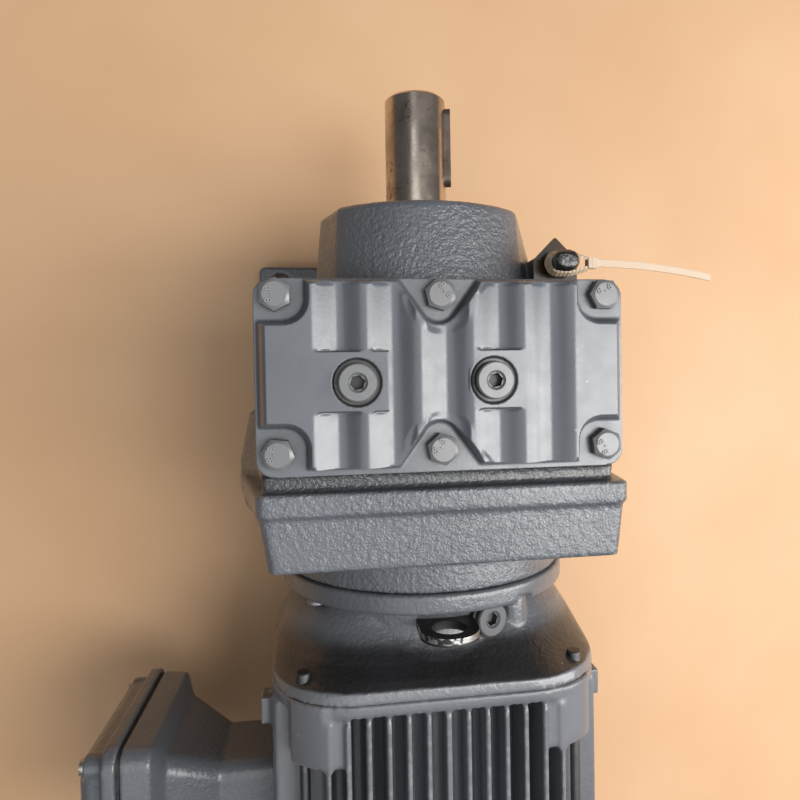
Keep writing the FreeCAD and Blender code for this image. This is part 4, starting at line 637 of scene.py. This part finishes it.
def cover_bolts(material):
    """Hexagon bolts with a round, bright face inside the chamfer."""
    flats, face, head, chamfer, shank, tip = 6.5, 5.35, 5.3, 0.62, 4.0, 3.0
    low, top = ((corner.z - AXIS_HEIGHT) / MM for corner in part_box("cover_bolts"))
    parts = []
    for x, y, turn, _ in BOLTS:
        rings = [[] for _ in range(6)]
        for k in range(0, 360, 5):
            corner = flats / math.cos(math.radians(k % 60 - 30))
            a = math.radians(k + turn)
            levels = ((face, top), (corner, top - (corner - face) * chamfer), (corner, top - head),
                      (shank, top - head), (shank, low), (tip, low))
            for ring, (r, z) in zip(rings, levels):
                ring.append(Vector((x + r * math.cos(a), y + r * math.sin(a), z)))
        parts.append(loft("bolt", rings))
    place_piece("cover_bolt_set", joined("cover_bolt_set", parts), material, "cover_bolts")


def grade_marks(material):
    """Plain strength numbers, raised on each bolt head."""
    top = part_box("cover_bolts")[1].z
    away = Matrix.Translation((0, 2.7 * MM, 0))
    for i, (x, y, _, turn) in enumerate(BOLTS):
        curve = bpy.data.curves.new("grade", "FONT")
        curve.body = "8.8"
        curve.size = 4.3 * MM
        curve.space_character = 1.5
        curve.extrude = 0.2 * MM
        curve.bevel_depth = 0.16 * MM
        curve.bevel_resolution = 2
        curve.align_x = "CENTER"
        curve.align_y = "CENTER"
        flat = bpy.data.objects.new("grade", curve)
        bpy.context.scene.collection.objects.link(flat)
        mesh = mesh_of(flat)
        bpy.data.objects.remove(flat)
        place = Matrix.Translation((x * MM, y * MM + COVER_AHEAD, top))
        mesh.transform(place @ Matrix.Rotation(math.radians(turn), 4, "Z") @ away)
        place_piece(f"grade_mark_{i + 1}", mesh, material)


# Studio

def make_floor():
    bpy.ops.mesh.primitive_plane_add(size=8.0, location=(0, 0, 0))
    floor = bpy.context.object
    floor.name = "floor"
    g = Graph("floor")
    tone = g.mix(g.span(g.noise(6, 3), 0.3, 0.7), (0.66, 0.40, 0.22), (0.72, 0.46, 0.27))
    dress(floor, g.finish(tone, None, 0.6, specular=0.3))


def area_light(name, place, aim, size, watts, colour):
    data = bpy.data.lights.new(name, "AREA")
    data.shape = "RECTANGLE"
    data.size, data.size_y = size
    data.energy = watts
    data.color = colour
    lamp = bpy.data.objects.new(name, data)
    lamp.location = place
    lamp.rotation_euler = (Vector(aim) - Vector(place)).to_track_quat("-Z", "Y").to_euler()
    bpy.context.scene.collection.objects.link(lamp)


def make_light():
    area_light("window", place=(0.88, -0.12, 1.06), aim=(0, -0.05, 0.12), size=(0.6, 1.7), watts=26.0,
               colour=(1.0, 0.985, 0.97))
    area_light("ceiling", place=(-0.2, -0.3, 1.8), aim=(0, 0, 0.1), size=(2.0, 2.0), watts=14.0,
               colour=(0.95, 0.98, 1.0))
    world = bpy.data.worlds.new("world")
    bpy.context.scene.world = world
    world.use_nodes = True
    back = world.node_tree.nodes["Background"]
    back.inputs["Color"].default_value = (0.96, 0.97, 1.0, 1.0)
    back.inputs["Strength"].default_value = 0.12
    bpy.context.scene.view_settings.view_transform = "Standard"


# Dressing

def paints():
    """The enamels, with painted shade and dirt at the cover's rear edge and the plugs, a dark disc on the tie
    post and painted shade on the shield.
    """
    grey = (0.10, 0.108, 0.122)
    seat = 75
    # Near-black seam line under the cover's rear edge, then a darker strip behind it: painted shade and dirt
    seam_shade_and_dirt = ((-45.3, -45.6, -47.2, -47.8, seat, 0.2, SEAM_SHADE_AND_DIRT),
              (-47.2, -47.8, -52.0, -54.0, seat, 0.8, (0.045, 0.047, 0.050)))
    feet = -115
    # Near-black band on the shield's shoulder slope, which faces away from the light: painted shade. Then a
    # lighter band in the frame's tone to the rear end.
    shoulder_shade_and_rear_band = ((-129, -138, -147.3, -148.3, feet, 2.0, (0.022, 0.022, 0.024)),
              (-147.3, -148.3, -421, -422, feet, 0.5, (0.15, 0.155, 0.17)))
    # deep gives holes and steep corners the full painted shade and dirt, which darkens the plugs' sockets
    small = {"shade_and_dirt": 1.0, "wear": 0, "soft": 0.3, "peel": 0.03, "deep": True}
    return {
        "cast": enamel("paint_cast", grey, 0.30, pebble=0.6, dust=0.6, bands=seam_shade_and_dirt,
                       rings=((*POST, -2.0, POST_R),)),
        # The plugs' grooves get near-black rings of painted shade and dirt
        "cover": enamel("paint_cover", grey, 0.28, peel=0.03, dust=0.6, wear=0.35,
                        rings=[(*plug, *PLUG_GROOVE) for plug in PLUGS]),
        "motor": enamel("paint_motor", grey, 0.34, pebble=0.25, shade_and_dirt=0.6),
        "shield": enamel("paint_shield", grey, 0.34, pebble=0.22, shade_and_dirt=0.7, bands=shoulder_shade_and_rear_band),
        "frame": enamel("paint_frame", (0.13, 0.135, 0.15), 0.40, pebble=0.1),
        "small": enamel("paint_small", (0.15, 0.152, 0.155), 0.34, **small),
        "plug": enamel("paint_plug", (0.085, 0.088, 0.096), 0.5, coat=0.05, **small),
        "sheet": enamel("paint_sheet", (0.10, 0.105, 0.12), 0.32, wear=0, soft=0.8),
    }


def dress_all():
    paint = paints()
    bright = metal("bright_steel", (0.62, 0.60, 0.57))
    gear_steel = metal("gear_steel", (0.52, 0.52, 0.53), rough=0.28)
    shaft_steel = metal("shaft_steel", (0.62, 0.53, 0.45), rough=0.20, brush=0.012, rust=0.9, turned=True)
    key_steel = metal("key_steel", (0.24, 0.19, 0.165), rough=0.45, brush=0.02, rust=0.5)
    dark_steel = metal("dark_steel", (0.16, 0.16, 0.16), rough=0.42)
    laminated = metal("laminated", (0.35, 0.35, 0.37), rough=0.4, brush=0.05, turned=True, soft=0)
    black_rubber = rubber("black_rubber")
    black_plastic = moulded("black_plastic", (0.03, 0.03, 0.032))
    soften("gear_housing", paint["cast"], voxel=1.2, passes=3, wave=0.22)
    soften("stator_housing", paint["frame"], voxel=1.3, passes=1)
    soften("terminal_box_lid", paint["motor"], voxel=0.9, passes=3)
    soften("terminal_box_base", paint["motor"], voxel=1.0, passes=3)
    soften("rear_end_shield", paint["motor"], voxel=1.3, passes=2)
    soften("housing_cover", paint["cover"], voxel=0.5, passes=2, reshape=soft_troughs)
    soften("motor_flange", paint["shield"], voxel=1.0, passes=4, wave=0.12, mesh=shield_mesh())
    tie_bolts(dark_steel)
    plug_seal_and_shade_sleeve(black_rubber)
    cover_bolts(paint["small"])
    replaced = {"gear_housing", "stator_housing", "terminal_box_lid", "terminal_box_base", "rear_end_shield",
                "housing_cover", "motor_flange", "tie_screws", "cover_bolts"}
    looks = {
        "filler_plug": paint["small"], "vent_plug": paint["small"], "flange_plug": paint["plug"],
        "bore_cap": paint["sheet"], "fan_cover": paint["sheet"], "flange_screws": paint["motor"],
        "output_shaft": shaft_steel, "motor_shaft": shaft_steel, "output_key": key_steel,
        "motor_lifting_lug": lug_steel("lug_steel"), "cable_tie": nylon("nylon"), "hang_tag": amber("amber"),
        "stator_windings": copper_wire("copper_wire"), "stator_core": laminated, "rotor_core": laminated,
        "terminal_studs": metal("brass", (0.72, 0.52, 0.22)), "fan_cover_screws": bright,
        "terminal_box_screws": bright, "cooling_fan": black_plastic, "terminal_block": black_plastic,
        "blanking_plugs": black_plastic, "cover_gasket": black_rubber, "plug_seals": black_rubber,
        "terminal_box_gasket": black_rubber, "output_oil_seal": black_rubber, "motor_oil_seal": black_rubber,
    }
    for name, node in nodes.items():
        if name not in replaced:
            dress(node, looks.get(name, gear_steel))
    grade_marks(raised_mark("raised_mark"))


make_camera()
dress_all()
make_floor()
make_light()
bpy.context.view_layer.update()
